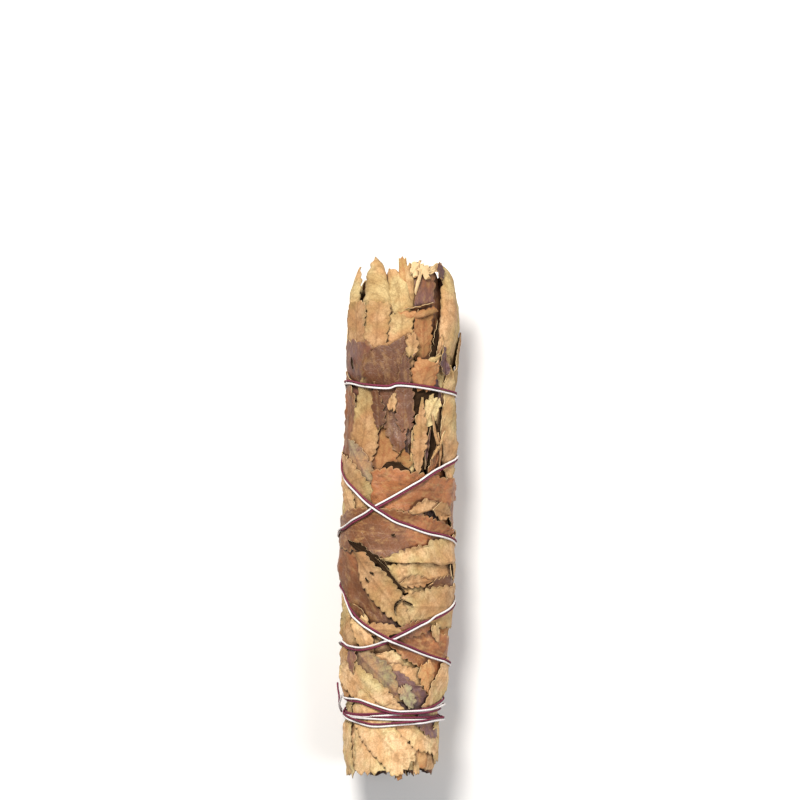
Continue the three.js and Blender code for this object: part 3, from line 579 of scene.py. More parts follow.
def sheet_patch(points, thickness, relief, faces, places, tone):
    """Closes a sheet of points into a thin leaf with its own kind of face on each side."""
    rows, columns = points.shape[:2]
    normal = sheet_normals(points)
    outer = points + normal * (0.5 * thickness + relief)[..., None]
    inner = points - normal * (0.5 * thickness)[..., None]
    count = rows * columns
    front = grid_faces(rows, columns)
    loop = np.concatenate([
        np.arange(columns - 1), np.arange(rows - 1) * columns + columns - 1,
        (rows - 1) * columns + np.arange(columns - 1, 0, -1), np.arange(rows - 1, 0, -1) * columns,
    ])
    ahead = np.roll(loop, -1)
    rim = np.stack([ahead, loop, loop + count, ahead + count], axis=-1)
    patch = Patch()
    patch.add(
        np.concatenate([outer.reshape(-1, 3), inner.reshape(-1, 3)]),
        np.concatenate([front, front[:, ::-1] + count, rim]),
        np.concatenate([
            np.full(len(front), FACE_KINDS.index(faces[0])),
            np.full(len(front), FACE_KINDS.index(faces[1])),
            np.full(len(rim), FACE_KINDS.index("rim")),
        ]),
        np.concatenate([places.reshape(-1, 3)] * 2),
        np.concatenate([tone.reshape(-1, 3)] * 2),
    )
    return patch, outer


def teeth(along, seed, sizes):
    """Height of the rounded teeth at places along a margin, from nought to about one."""
    rng = np.random.default_rng(seed)
    phase = along / sizes.tooth_pitch + rng.uniform(0, 1) + 0.35 * wave_along(along, 19, seed)
    number = np.floor(phase).astype(int) - int(np.floor(phase.min()))
    share = phase - np.floor(phase)
    height = rng.uniform(0.45, 1.2, number.max() + 1)[number]
    return height * np.sin(math.pi * np.clip(share, 0.001, 0.999) ** 1.5) ** 0.45


def outline(item, share, point):
    """Share of a leaf's full width at shares of its length."""
    whole = item.cut[0] + (1 - item.cut[0] - item.cut[1]) * share
    return np.sin(math.pi * whole ** WIDEST_PLACE) ** point


def leaf_sheet(item, sizes, seed, coarse=1):
    """Flat pattern of a leaf and its place marks: across and along, vein distance and edge."""
    rng = np.random.default_rng(seed)
    rows = max(12, int(item.length / ROW_STEP / coarse))
    columns = max(9, int(COLUMNS / coarse) // 2 * 2 + 1)
    share = np.linspace(0, 1, rows)[:, None]
    line = np.linspace(-1, 1, columns)[None, :]
    side = np.sign(line) * (1 - (1 - np.abs(line)) ** 1.35)
    half = np.maximum(LEAST_HALF_WIDTH, 0.5 * item.width * outline(item, share, LEAF_POINT))
    fade = smoothstep(0, 0.06, share) * (1 - smoothstep(0.93, 1, share))
    length = share * item.length
    bite = np.where(side < 0, teeth(length, seed + 1, sizes), teeth(length, seed + 2, sizes))
    bite = np.where(item.fold * side > 0, 0, bite) * fade * np.minimum(1, half / 2)
    margin = smoothstep(0.6, 1, np.abs(side))
    wander = MARGIN_WANDER * np.where(side < 0, wave_along(length, MARGIN_WAVE, seed + 3),
                                      wave_along(length, MARGIN_WAVE, seed + 4))
    reach = sizes.tooth_depth * (bite - 0.6) + wander * fade
    across = side * half + np.sign(side) * margin * reach * np.minimum(1, half / 2)
    across = across + item.bow * 4 * share * (1 - share)
    across = across + RIB_WANDER * wave_along(length, RIB_WAVE, seed + 8) * fade
    along = length + 0.5 * margin * bite + 0 * side
    for end, cut in enumerate(item.cut):
        if cut > 0:
            knots = rng.uniform(-item.jag, 0.2, 11)
            jag = np.interp(side, np.linspace(-1, 1, 11), knots)
            near = length if end == 0 else item.length - length
            along = along - (1 - 2 * end) * jag * np.exp(-near / 4)
    along = along + item.slant * side * np.exp(-length / 12)
    vein = side * half if item.fold == 0 else half * (1 - item.fold * side)
    places = np.stack([vein + 0 * along, along, np.abs(side) + 0 * along], axis=-1)
    return across, along, places, side, share


def wrap(item, across, along):
    lean = math.radians(item.lean)
    ahead = along - item.length / 2
    arc = across * math.cos(lean) + ahead * math.sin(lean)
    station = item.station - across * math.sin(lean) + ahead * math.cos(lean)
    return math.radians(item.turn) + arc / SURFACE_RADIUS, station


def settle(turn, station, clearance, least=0, passes=SETTLE_PASSES):
    """Radius of a stiff sheet that rests on the surface and bridges what lies low."""
    floor = np.maximum(least, surface.floor(turn, station) + clearance)
    radius = floor.copy()
    for _ in range(passes):
        wide = np.pad(radius, 1, mode="edge")
        mean = (wide[:-2, 1:-1] + wide[2:, 1:-1] + wide[1:-1, :-2] + wide[1:-1, 2:]) / 4
        radius = np.maximum(floor, mean)
    return radius


def vein_relief(places, face):
    """Height of the midrib and side veins: they stand on the woolly side and sink into the smooth one."""
    across, along = np.abs(places[..., 0]), places[..., 1]
    rib = np.exp(-((across / RIB_WIDTH) ** 2))
    phase = (along - VEIN_SLOPE * across) / VEIN_PITCH
    branch = np.exp(-(((phase - np.rint(phase)) * VEIN_PITCH / VEIN_WIDTH) ** 2))
    height = RIB_HEIGHT * rib + VEIN_HEIGHT * (branch * smoothstep(0.4, 1.2, across))
    return height if face in ("tan", "golden", "olive") else SMOOTH_SIDE * height


def creases(across, along, size, seed):
    """Sharp shallow folds, from minus one to one, in directions of their own."""
    rng = np.random.default_rng(seed)
    total = 0
    for weight in (0.6, 0.4):
        heading, phase = rng.uniform(0, 6.28), rng.uniform(0, 6.28)
        line = (across * math.cos(heading) + along * math.sin(heading)) / size * 0.5 / weight
        bend = 0.5 * ripple(across, along, 2.4 * size, seed + 1)
        total = total + weight * 0.6366 * np.arcsin(np.sin(6.28 * line + phase + bend))
    return total


def leaf_tone(item, share, seed):
    """Tint, blush from the base to the tip, and a number of its own for each leaf."""
    start, end = item.blush if isinstance(item.blush, tuple) else (item.blush, item.blush)
    blush = start + (end - start) * share
    return np.stack([item.tint + 0 * blush, blush, seed % 97 + 0 * blush], axis=-1)


def leaf_patch(item, sheet, points, relief, thickness, seed, thinning=0.3, covers=True):
    """A leaf closed round its points, and marked on the surface where later leaves lie over it."""
    _, along, places, side, share = sheet
    thickness = thickness * (1 - thinning * np.abs(side) ** 4) + 0 * along
    tone = leaf_tone(item, share + 0 * side, seed)
    faces = (item.face, INSIDE_OF[item.face])
    patch, outer = sheet_patch(points, thickness, relief, faces, places, tone)
    if covers:
        surface.stamp(finer(outer, STAMP_FINENESS))
    return patch


def laid_leaf(item, sizes, seed, coarse=1, sunk=0.0, ceiling=None):
    """A leaf laid on the stick, over whatever is already there."""
    sheet = leaf_sheet(item, sizes, seed, coarse)
    across, along, places, side = sheet[:4]
    turn, station = wrap(item, across, along)
    radius = settle(turn, station, LAYER - sunk, item.least)
    edge = np.abs(side)
    swell = item.wave * (1 + ripple(across, along, SWELL_SIZE, seed + 5)) * (1 - 0.4 * edge)
    folds = FOLD_HEIGHT * (1 + creases(across, along, FOLD_SIZE, seed + 9)) * sizes.crinkle
    crinkle = CRINKLE_HEIGHT * ripple(across, along, CRINKLE_SIZE, seed + 6) * sizes.crinkle
    lift = np.where(side < 0, item.lift[0], item.lift[1]) * smoothstep(0.45, 1, edge) ** 2
    flutter = FLUTTER_HEIGHT * (1 + wave_along(along, FLUTTER_SIZE, seed + 7)) * smoothstep(0.55, 1, edge)
    crease = -CREASE_DEPTH * np.exp(-((places[..., 0] / CREASE_WIDTH) ** 2)) if item.fold else 0
    room = np.clip((bundle_radius(turn, station) + sizes.leaf_stack - radius) / 1.5, 0.12, 1)
    slack = surface.slack(turn, station) * room
    radius = radius + 0.1 + slack * (swell + folds + lift + flutter) + crinkle + crease
    if ceiling is not None:
        radius = np.minimum(radius, bundle_radius(turn, station) - ceiling)
    relief = vein_relief(places, item.face)
    return leaf_patch(item, sheet, place(turn, station, radius), relief, sizes.leaf_thickness, seed)


pieces = []


def mesh_piece(name, patch, palette):
    """Makes an object of a patch, in metres, with one material for each kind of face in use."""
    points = np.concatenate(patch.points)
    faces = np.concatenate(patch.faces)
    kinds = np.concatenate(patch.kinds)
    points = (points + AXIS) * MM
    mesh = bpy.data.meshes.new(name)
    mesh.vertices.add(len(points))
    mesh.vertices.foreach_set("co", points.ravel())
    mesh.loops.add(faces.size)
    mesh.loops.foreach_set("vertex_index", faces.ravel())
    mesh.polygons.add(len(faces))
    mesh.polygons.foreach_set("loop_start", np.arange(0, faces.size, 4))
    used = sorted(set(kinds.tolist()))
    mesh.polygons.foreach_set("material_index", np.searchsorted(used, kinds))
    mesh.polygons.foreach_set("use_smooth", np.full(len(faces), True))
    for label, rows in (("leaf_place", patch.places), ("leaf_tone", patch.tones)):
        marks = mesh.attributes.new(label, "FLOAT_VECTOR", "POINT")
        marks.data.foreach_set("vector", np.concatenate(rows).astype(np.float32).ravel())
    mesh.update(calc_edges=True)
    mesh.validate()
    piece = bpy.data.objects.new(name, mesh)
    bpy.context.scene.collection.objects.link(piece)
    for kind in used:
        mesh.materials.append(palette[FACE_KINDS[kind]])
    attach(piece, BODY)
    pieces.append(piece)
    return piece


class Wire:
    """A socket of a node tree, so that shader maths reads as an expression."""

    def __init__(self, shader, socket):
        self.shader = shader
        self.socket = socket

    def _maths(self, operation, first, second=None):
        inputs = {0: first} if second is None else {0: first, 1: second}
        return self.shader.node("ShaderNodeMath", {"operation": operation}, inputs)

    def __add__(self, other):
        return self._maths("ADD", self, other)

    def __sub__(self, other):
        return self._maths("SUBTRACT", self, other)

    def __rsub__(self, other):
        return self._maths("SUBTRACT", other, self)

    def __mul__(self, other):
        return self._maths("MULTIPLY", self, other)

    def __truediv__(self, other):
        return self._maths("DIVIDE", self, other)

    def __abs__(self):
        return self._maths("ABSOLUTE", self)

    def least(self, other):
        return self._maths("MINIMUM", self, other)

    def near_whole(self):
        """Distance to the nearest whole number."""
        return abs(self - self._maths("ROUND", self))

    def part(self, name):
        axes = self.shader.raw("ShaderNodeSeparateXYZ", {}, {0: self})
        return Wire(self.shader, axes.outputs[name])


class Shader:
    """One material under construction."""

    def __init__(self, name):
        self.material = bpy.data.materials.new(name)
        self.material.use_nodes = True
        self.tree = self.material.node_tree
        self.principled = self.tree.nodes["Principled BSDF"]

    def raw(self, kind, settings, inputs):
        node = self.tree.nodes.new(kind)
        for key, value in settings.items():
            if key == "stops":
                ramp = node.color_ramp
                ramp.elements[0].position, ramp.elements[0].color = value[0]
                ramp.elements[1].position, ramp.elements[1].color = value[-1]
                for position, colour in value[1:-1]:
                    ramp.elements.new(position).color = colour
            else:
                setattr(node, key, value)
        for key, value in inputs.items():
            self.feed(node.inputs[key], value)
        return node

    def node(self, kind, settings, inputs, output=0):
        return Wire(self, self.raw(kind, settings, inputs).outputs[output])

    def feed(self, socket, value):
        if isinstance(value, Wire):
            self.tree.links.new(value.socket, socket)
        else:
            socket.default_value = value

    def mark(self, name):
        return self.node("ShaderNodeAttribute", {"attribute_name": name}, {}, "Vector")

    def scaled(self, vector, factors):
        return self.node("ShaderNodeVectorMath", {"operation": "MULTIPLY"}, {0: vector, 1: factors})

    def moved(self, vector, other):
        return self.node("ShaderNodeVectorMath", {"operation": "ADD"}, {0: vector, 1: other})

    def vector(self, x, y, z):
        return self.node("ShaderNodeCombineXYZ", {}, {0: x, 1: y, 2: z})

    def noise(self, vector, scale, detail=3.0, roughness=0.55, output="Fac"):
        inputs = {"Vector": vector, "Scale": scale, "Detail": detail, "Roughness": roughness}
        return self.node("ShaderNodeTexNoise", {}, inputs, output)

    def step(self, value, low, high, start=0.0, end=1.0):
        inputs = {0: value, 1: low, 2: high, 3: start, 4: end}
        return self.node("ShaderNodeMapRange", {"interpolation_type": "SMOOTHSTEP"}, inputs)

    def mix(self, factor, first, second, blend="MIX"):
        settings = {"data_type": "RGBA", "blend_type": blend}
        node = self.raw("ShaderNodeMix", settings, {0: factor, 6: first, 7: second})
        return Wire(self, node.outputs[2])

    def over(self, colour, wave, low, high, strength, top):
        """Lays a colour over another where a wave is high."""
        return self.mix(self.step(wave, low, high, 0.0, strength), colour, top)

    def bump(self, height, strength, distance):
        inputs = {"Height": height, "Strength": strength, "Distance": distance}
        return self.node("ShaderNodeBump", {}, inputs)

    def with_painted_shade(self, colour):
        """Painted shade: darkens a colour where it lies deep among the leaves, in the gaps and under
        overlapping margins.
        """
        depth = self.mark("leaf_depth")
        close = self.step(depth.part("X"), 0.04, 0.9, 0.0, 0.62)
        wide = self.step(depth.part("Y"), 0.3, 2.6, 0.0, 0.6)
        dark = self.mix(close, (1.0, 1.0, 1.0, 1.0), (0.2, 0.11, 0.07, 1.0))
        dark = self.mix(wide, dark, (0.12, 0.07, 0.05, 1.0))
        return self.mix(1.0, colour, dark, "MULTIPLY")

    def finish(self, **sockets):
        for name, value in sockets.items():
            self.feed(self.principled.inputs[name.replace("_", " ")], value)
        return self.material


def shade(colour, factor=1.0):
    return tuple(channel * factor for channel in colour[:3]) + (1.0,)


def leaf_face(name, net_scale, warp_scale, warp, net_width, branch_width, rib):
    """A material with the flat place, the edge and the lines of a leaf: net, side veins and rib."""
    shader = Shader(name)
    spot, tone = shader.mark("leaf_place"), shader.mark("leaf_tone")
    across, along = abs(spot.part("X")), spot.part("Y")
    flat = shader.vector(spot.part("X"), along, tone.part("Z"))
    swirl = shader.noise(flat, warp_scale, 2.0, 0.5, "Color")
    warped = shader.moved(flat, shader.scaled(swirl, (warp, warp, 0.0)))
    net_inputs = {"Vector": warped, "Scale": net_scale}
    net = shader.node("ShaderNodeTexVoronoi", {"feature": "DISTANCE_TO_EDGE"}, net_inputs, "Distance")
    branch = (along - across * VEIN_SLOPE) / VEIN_PITCH
    lines = (
        1 - shader.step(net, 0.0, net_width),
        1 - shader.step(branch.near_whole(), 0.0, branch_width),
        1 - shader.step(across, *rib),
    )
    return shader, flat, spot.part("Z"), tone, lines


def woolly_leaf(name, base, deep, pale):
    """Underside of a dried leaf: matte wool over a net of veins, with a raised rib."""
    shader, flat, edge, tone, lines = leaf_face(name, 0.7, 0.5, 1.6, 0.14, 0.09, (0.15, 0.75))
    net_line, branch_line, rib_line = lines
    clouds = shader.noise(flat, 0.12, 4.0)
    stain = shader.noise(flat, 0.33, 5.0, 0.62)
    fleck = shader.noise(flat, 1.5, 5.0, 0.7)
    grain = shader.noise(flat, 3.4, 3.0, 0.6)
    wool = shader.noise(shader.scaled(flat, (5.0, 2.2, 1.0)), 1.0, 4.0, 0.75)
    colour = shader.mix(shader.step(clouds, 0.36, 0.66), shade(base), shade(pale))
    colour = shader.over(colour, stain, 0.47, 0.66, 0.6, shade(deep, 1.15))
    colour = shader.over(colour, fleck, 0.5, 0.72, 0.5, shade(deep))
    colour = shader.mix(net_line * 0.28, colour, shade(deep, 0.8))
    colour = shader.mix(branch_line * 0.22, colour, shade(deep, 0.85))
    colour = shader.mix(rib_line * 0.34, colour, shade(deep, 0.9))
    colour = shader.over(colour, grain, 0.6, 0.72, 0.7, shade(deep, 0.42))
    colour = shader.over(colour, edge, 0.84, 1.0, 0.5, shade(deep, 0.7))
    tinted = shader.mix(tone.part("X"), shade((0.76, 0.7, 0.68)), shade((1.32, 1.4, 1.58)))
    fade = shader.step(shader.noise(flat, 0.045, 3.0), 0.4, 0.6)
    hue = shader.mix(fade, shade((1.05, 0.95, 0.9)), shade((0.95, 1.03, 0.88)))
    tinted = shader.mix(1.0, tinted, hue, "MULTIPLY")
    # Painted shade in the gaps and under overlapping margins is multiplied into the colour here.
    colour = shader.with_painted_shade(shader.mix(1.0, colour, tinted, "MULTIPLY"))
    relief = wool * 0.4 + net_line * 0.14 + branch_line * 0.3 + fleck * 0.35
    normal = shader.bump(relief, 0.5, 0.00035)
    return shader.finish(Base_Color=colour, Roughness=0.86, Normal=normal)


def smooth_leaf(name, warm, dark, pale):
    """Upper side of a dried leaf: smooth and a little resinous, mottled from orange brown to purple."""
    shader, flat, edge, tone, lines = leaf_face(name, 0.55, 0.4, 1.4, 0.1, 0.07, (0.1, 0.5))
    net_line, branch_line, rib_line = lines
    clouds = shader.noise(flat, 0.085, 3.0, 0.5)
    blotch = shader.noise(shader.scaled(flat, (1.0, 0.5, 1.0)), 0.42, 5.0, 0.62)
    streak = shader.noise(shader.scaled(flat, (1.0, 0.4, 1.0)), 0.5, 5.0, 0.6)
    speck = shader.noise(flat, 2.6, 3.0, 0.6)
    share = shader.step(clouds + blotch * 0.35 + tone.part("Y") * 0.8 - 0.6, 0.25, 0.75)
    colour = shader.mix(share, shade(dark), shade(warm))
    colour = shader.over(colour, blotch, 0.46, 0.66, 0.65, shade(dark, 0.6))
    colour = shader.over(colour, streak, 0.48, 0.68, 0.5, shade(pale))
    veins = net_line * 0.08 + branch_line * 0.07 + rib_line * 0.16
    colour = shader.mix(veins.least(1.0), colour, shade(pale))
    colour = shader.over(colour, edge, 0.9, 1.0, 0.5, shade(pale, 0.8))
    colour = shader.over(colour, speck, 0.54, 0.7, 0.45, shade(dark, 0.45))
    tinted = shader.mix(tone.part("X"), shade((0.68, 0.65, 0.66)), shade((1.45, 1.5, 1.58)))
    # Painted shade in the gaps and under overlapping margins is multiplied into the colour here.
    colour = shader.with_painted_shade(shader.mix(1.0, colour, tinted, "MULTIPLY"))
    rough = shader.step(blotch, 0.3, 0.75, 0.46, 0.64)
    relief = blotch * 0.8 + streak * 0.3 - net_line * 0.25 - branch_line * 0.3 + speck * 0.12
    normal = shader.bump(relief, 0.45, 0.00045)
    return shader.finish(Base_Color=colour, Roughness=rough, Normal=normal)


def torn_rim(name, base):
    shader = Shader(name)
    spot = shader.mark("leaf_place")
    grain = shader.noise(spot, 2.2, 4.0, 0.7)
    # Painted shade in the gaps is multiplied into the rim colour here.
    colour = shader.with_painted_shade(shader.mix(grain, shade(base, 0.75), shade(base, 1.25)))
    return shader.finish(Base_Color=colour, Roughness=0.9, Normal=shader.bump(grain, 0.4, 0.0002))


def deep_shade(name, base):
    """Painted shade: a near-black sheet laid in the gaps and holes and on the core, where only shadow shows
    between the leaves.
    """
    shader = Shader(name)
    spot = shader.mark("leaf_place")
    streak = shader.noise(shader.scaled(spot, (1.0, 0.12, 1.0)), 0.9, 5.0, 0.65)
    colour = shader.mix(shader.step(streak, 0.3, 0.75), shade(base, 0.5), shade(base, 1.5))
    normal = shader.bump(streak, 0.8, 0.0008)
    return shader.finish(Base_Color=colour, Roughness=0.95, Specular_IOR_Level=0.05, Normal=normal)


def twisted_cotton(name, base, deep):
    """Thread of three twisted plies with a little loose fibre on them."""
    shader = Shader(name)
    spot = shader.mark("leaf_place")
    fibre = shader.noise(shader.scaled(spot, (1.0, 6.0, 6.0)), 1.2, 4.0, 0.7)
    patch = shader.noise(spot, 0.08, 3.0, 0.6)
    colour = shader.mix(shader.step(fibre, 0.35, 0.7), shade(deep), shade(base))
    colour = shader.over(colour, patch, 0.45, 0.7, 0.3, shade(deep))
    return shader.finish(Base_Color=colour, Roughness=0.8, Normal=shader.bump(fibre, 0.5, 0.0002))


def size_property(name, description, default):
    return FloatProperty(name=name, description=description, default=default, min=0.01)


class StickSizes(bpy.types.PropertyGroup):
    """Sizes of the leaves and threads, in millimetres."""

    leaf_thickness: size_property("Leaf thickness", "Of one dried leaf", 0.32)
    tooth_pitch: size_property("Tooth pitch", "Distance between teeth", 3.4)
    tooth_depth: size_property("Tooth depth", "How far a tooth stands out", 1.5)
    leaf_stack: size_property("Leaf stack", "Most height of leaves on the bundle", 2.4)
    crinkle: size_property("Crinkle", "Strength of the fine crinkles", 1.0)
    ply_depth: size_property("Ply depth", "Depth between the plies of a thread", 0.09)


def colour_property(name, description, default):
    return FloatVectorProperty(
        name=name, description=description, subtype="COLOR", size=3, min=0, max=1, default=default
    )


class StickColours(bpy.types.PropertyGroup):
    """Linear colours of the leaves, the threads and the floor."""

    tan: colour_property("Tan", "Woolly underside", (0.5, 0.295, 0.125))
    golden: colour_property("Golden", "Darker woolly underside", (0.4, 0.22, 0.078))
    pale: colour_property("Pale", "Lightest wool and broken rims", (0.62, 0.435, 0.225))
    brown: colour_property("Brown", "Smooth upper side", (0.33, 0.112, 0.034))
    purple: colour_property("Purple", "Dark mottling of the upper side", (0.13, 0.06, 0.06))
    olive: colour_property("Olive", "Dusty grey underside", (0.3, 0.24, 0.13))
    # Colour of the painted shade: near-black sheets in deep gaps and holes, and the inner core.
    depth: colour_property("Depth", "Painted_shade leaf in the gaps", (0.03, 0.016, 0.008))
    white_thread: colour_property("White thread", "Pale strand", (0.95, 0.89, 0.86))
    burgundy_thread: colour_property("Burgundy thread", "Dark strand", (0.19, 0.017, 0.05))
    floor: colour_property("Floor", "Plain floor", (0.8, 0.78, 0.76))


palette = {}


def mix_palette(colours):
    """Makes the materials, once, from the colours."""
    tan, golden, pale = colours.tan, colours.golden, colours.pale
    brown, purple = colours.brown, colours.purple
    palette["tan"] = woolly_leaf("tan_wool", tan, shade(golden, 0.62), pale)
    palette["golden"] = woolly_leaf("golden_wool", golden, shade(brown, 0.9), tan)
    palette["olive"] = woolly_leaf("olive_wool", colours.olive, shade(purple, 0.9), shade(tan, 0.75))
    palette["brown"] = smooth_leaf("brown_face", brown, shade(brown, 0.45), golden)
    palette["purple"] = smooth_leaf("purple_face", shade(brown, 0.6), purple, shade(golden, 0.8))
    palette["rim"] = torn_rim("torn_rim", pale)
    palette["shade"] = deep_shade("deep_shade", colours.depth)
    white, burgundy = colours.white_thread, colours.burgundy_thread
    palette["white_thread"] = twisted_cotton("white_cotton", white, shade(white, 0.6))
    bright, dark = shade(burgundy, 1.3), shade(burgundy, 0.5)
    palette["burgundy_thread"] = twisted_cotton("burgundy_cotton", bright, dark)


class StickOperator(bpy.types.Operator):
    """One step in making the stick."""

    bl_options = {"REGISTER"}

    @property
    def sizes(self):
        return bpy.context.scene.stick_sizes

    @property
    def colours(self):
        return bpy.context.scene.stick_colours

    @property
    def slots(self):
        """Material slot of each solid, by its name."""
        return {row["node"]: row["material_slot"] for row in frame["record"]["subparts"]}

    def inner(self, name, patch):
        piece = mesh_piece(name, patch, palette)
        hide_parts("inner_bundle")

    def rolls(self, name, items, seed):
        for number, item in enumerate(items):
            self.inner(name.format(number + 1), rolled_leaf(item, self.sizes, seed + number))


class STICK_OT_inner_bundle(StickOperator):
    """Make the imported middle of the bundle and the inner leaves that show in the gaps"""

    bl_idname = "stick.inner_bundle"
    bl_label = "Inner bundle"

    def execute(self, context):
        surface.clear()
        surface.press(*thread_route()[:2])
        mix_palette(self.colours)
        self.inner("inner_bundle_core", self.core())
        self.inner("inner_leaves", self.inner_leaves())
        return {"FINISHED"}

    def core(self):
        stations = np.linspace(*CORE_ENDS, CORE_GRID[0])[:, None]
        turns = np.linspace(0, 2 * math.pi, CORE_GRID[1], endpoint=False)[None, :]
        turns, stations = turns + 0 * stations, stations + 0 * turns
        radius = bundle_radius(turns, stations) - INNER_DEPTH
        pleats = 0.5 * ripple(turns * SURFACE_RADIUS, stations * 0.25, 7, 11)
        points = place(turns, stations, radius + pleats)
        points = np.concatenate([points[:1] * (0, 1, 0), points, points[-1:] * (0, 1, 0)])
        places = np.stack([turns * SURFACE_RADIUS, stations, 0 * stations], axis=-1)
        places = np.concatenate([places[:1], places, places[-1:]])
        faces = grid_faces(*points.shape[:2], closed=True)
        patch = Patch()
        # The core takes the near-black material of painted shade, so that the gaps read as deep shadow.
        patch.add(points.reshape(-1, 3), faces, np.full(len(faces), FACE_KINDS.index("shade")),
                  places.reshape(-1, 3), np.zeros((places.size // 3, 3)))
        surface.stamp(finer(np.concatenate([points, points[:, :1]], axis=1), STAMP_FINENESS))
        return patch

    def inner_leaves(self):
        rng = np.random.default_rng(41)
        patch = Patch()
        for number in range(INNER_LEAVES):
            layer, spot = divmod(number, INNER_LEAVES // 2)
            ring, place_in_ring = divmod(spot, INNER_RING)
            turn, length = 360 / INNER_RING * place_in_ring + rng.uniform(-22, 22), rng.uniform(42, 60)
            station = INNER_START + RING_STEP * ring + LAYER_STEP * layer
            low, high = INNER_ENDS[0] + length / 2, INNER_ENDS[1] - length / 2
            item = leaf(
                "inner", turn, min(high, max(low, station)), length, rng.uniform(13, 20),
                rng.uniform(-22, 22) + 180 * (number % 2), INNER_FACES[number % len(INNER_FACES)],
                tint=rng.uniform(0.1, 0.5), blush=rng.uniform(0, 1), wave=0.9,
                lift=(rng.uniform(0, 1.8), rng.uniform(0, 1.8)),
            )
            ceiling = 0.9 - 0.012 * number
            seed = SEEDS["inner"] + number
            patch.join(laid_leaf(item, self.sizes, seed, coarse=COARSE_INSIDE, sunk=0.2, ceiling=ceiling))
        return patch


class STICK_OT_fingers(StickOperator):
    """Make the folded leaves of the upper end, and the broken ends and cut stems of the lower end"""

    bl_idname = "stick.fingers"
    bl_label = "Leaf fingers"

    def execute(self, context):
        self.rolls("finger_{:02d}", FINGERS, SEEDS["finger"])
        self.rolls("broken_end_{:02d}", BROKEN_ENDS, SEEDS["end"])
        return {"FINISHED"}


def route_places(route):
    return [place(math.radians(turn), station, out) for turn, station, out in route]


def along_route(route, count):
    """Points of a route of turns, stations and distances, with its directions out and aside."""
    middle = catmull(route_places(route), 0.1)
    middle = middle[np.linspace(0, len(middle) - 1, count).astype(int)]
    tangent = unit(np.gradient(middle, axis=0))
    aside = unit(np.cross(tangent, middle * (1, 0, 1)))
    return middle, np.cross(aside, tangent), aside, tangent


def rolled_leaf(item, sizes, seed):
    """A leaf rolled along its rib, on a route of its own."""
    rng = np.random.default_rng(seed)
    corners = route_places(item.route)
    length = sum(math.dist(start, end) for start, end in zip(corners, corners[1:]))
    wide = 2 * math.radians(item.open_turn) * 0.5 * item.width
    sheet = leaf_sheet(leaf("roll", 0, 0, length, wide, 0, item.face, cut=item.cut, jag=1.5), sizes, seed)
    across, along, places, _, share = sheet
    middle, outward, aside, ahead = along_route(item.route, len(share))
    radius = 0.5 * item.width * np.maximum(0.2, outline(item, share, ROLL_POINT))
    angle = np.clip(across / radius, -math.pi * 1.1, math.pi * 1.1)
    spiral = 1 + ROLL_SPIRAL * angle * rng.choice((-1, 1))
    dent = 1 + DENT_SHARE * ripple(across, along, DENT_SIZE, seed + 1)
    dent = dent + PINCH_SHARE * creases(across, along, PINCH_SIZE, seed + 2)
    bulk = radius * spiral * dent
    heading = angle + math.pi + math.radians(item.slit)
    rise = ROLL_FLATNESS * bulk * np.cos(heading) - (1 - ROLL_FLATNESS) * 0.3 * item.width
    sway = rng.uniform(-1, 1) * share ** 2 + 0.35 * ripple(share * length, 0 * share, 25, seed + 3)
    points = (middle[:, None] + rise[..., None] * outward[:, None]
              + (bulk * np.sin(heading) + sway)[..., None] * aside[:, None]
              + (along - share * length)[..., None] * ahead[:, None])
    relief = vein_relief(places, item.face) * 0.8 + 0.06 * ripple(across, along, 2.7, seed + 4)
    return leaf_patch(item, sheet, points, relief, sizes.leaf_thickness, seed)


class STICK_OT_outer_leaves(StickOperator):
    """Lay the outer leaves, the lowest first"""

    bl_idname = "stick.outer_leaves"
    bl_label = "Outer leaves"

    def execute(self, context):
        for number, item in enumerate(OUTER_LEAVES):
            self.scraps(item.name, SEEDS["scrap"] + number)
            self.lay(item, SEEDS["outer"] + number)
        self.scraps("", SEEDS["last_scrap"])
        self.rolls("curled_leaf_{}", CURLS, SEEDS["curl"])
        return {"FINISHED"}

    def scraps(self, above, seed):
        for number, item in enumerate(SCRAPS.get(above, ())):
            self.lay(item, seed + number * 7)

    def lay(self, item, seed):
        rng = np.random.default_rng(seed)
        # Painted light: leaves are made darker towards the upper end, so that the lower end looks paler, as
        # if lit more strongly.
        item.tint = item.tint + rng.uniform(-0.25, 0.25) - 0.2 * smoothstep(-30, 40, item.station)
        item.lift = tuple(item.lift[end] + rng.uniform(0, 0.5) for end in (0, 1))
        underneath = abs(item.turn - 180) < UNDERNEATH
        coarse = COARSE_SHADE if item.face == "shade" else COARSE_UNDERSIDE if underneath else 1
        piece = mesh_piece(f"leaf_{item.name}", laid_leaf(item, self.sizes, seed, coarse), palette)
        node = item.name if item.name in self.slots else "inner_bundle"
        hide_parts(node)


def lengths(points):
    """Length along a line of points, at each of them."""
    return np.concatenate([[0], np.cumsum(np.linalg.norm(np.diff(points, axis=0), axis=1))])


def catmull(points, steps):
    """A smooth curve through points, with even steps along it."""
    points = np.array(points, dtype=float)
    ends = np.concatenate([[2 * points[0] - points[1]], points, [2 * points[-1] - points[-2]]])
    share = np.linspace(0, 1, CURVE_STEPS, endpoint=False)[:, None]
    curve = []
    for a, b, c, d in zip(ends, ends[1:], ends[2:], ends[3:]):
        bend = (2 * a - 5 * b + 4 * c - d) * share ** 2 + (3 * b - a - 3 * c + d) * share ** 3
        curve.append(0.5 * (2 * b + (c - a) * share + bend))
    curve = np.concatenate(curve + [points[-1:]])
    length = lengths(curve)
    even = np.linspace(0, length[-1], max(2, int(length[-1] / steps)))
    return np.stack([np.interp(even, length, curve[:, axis]) for axis in range(curve.shape[1])], axis=-1)


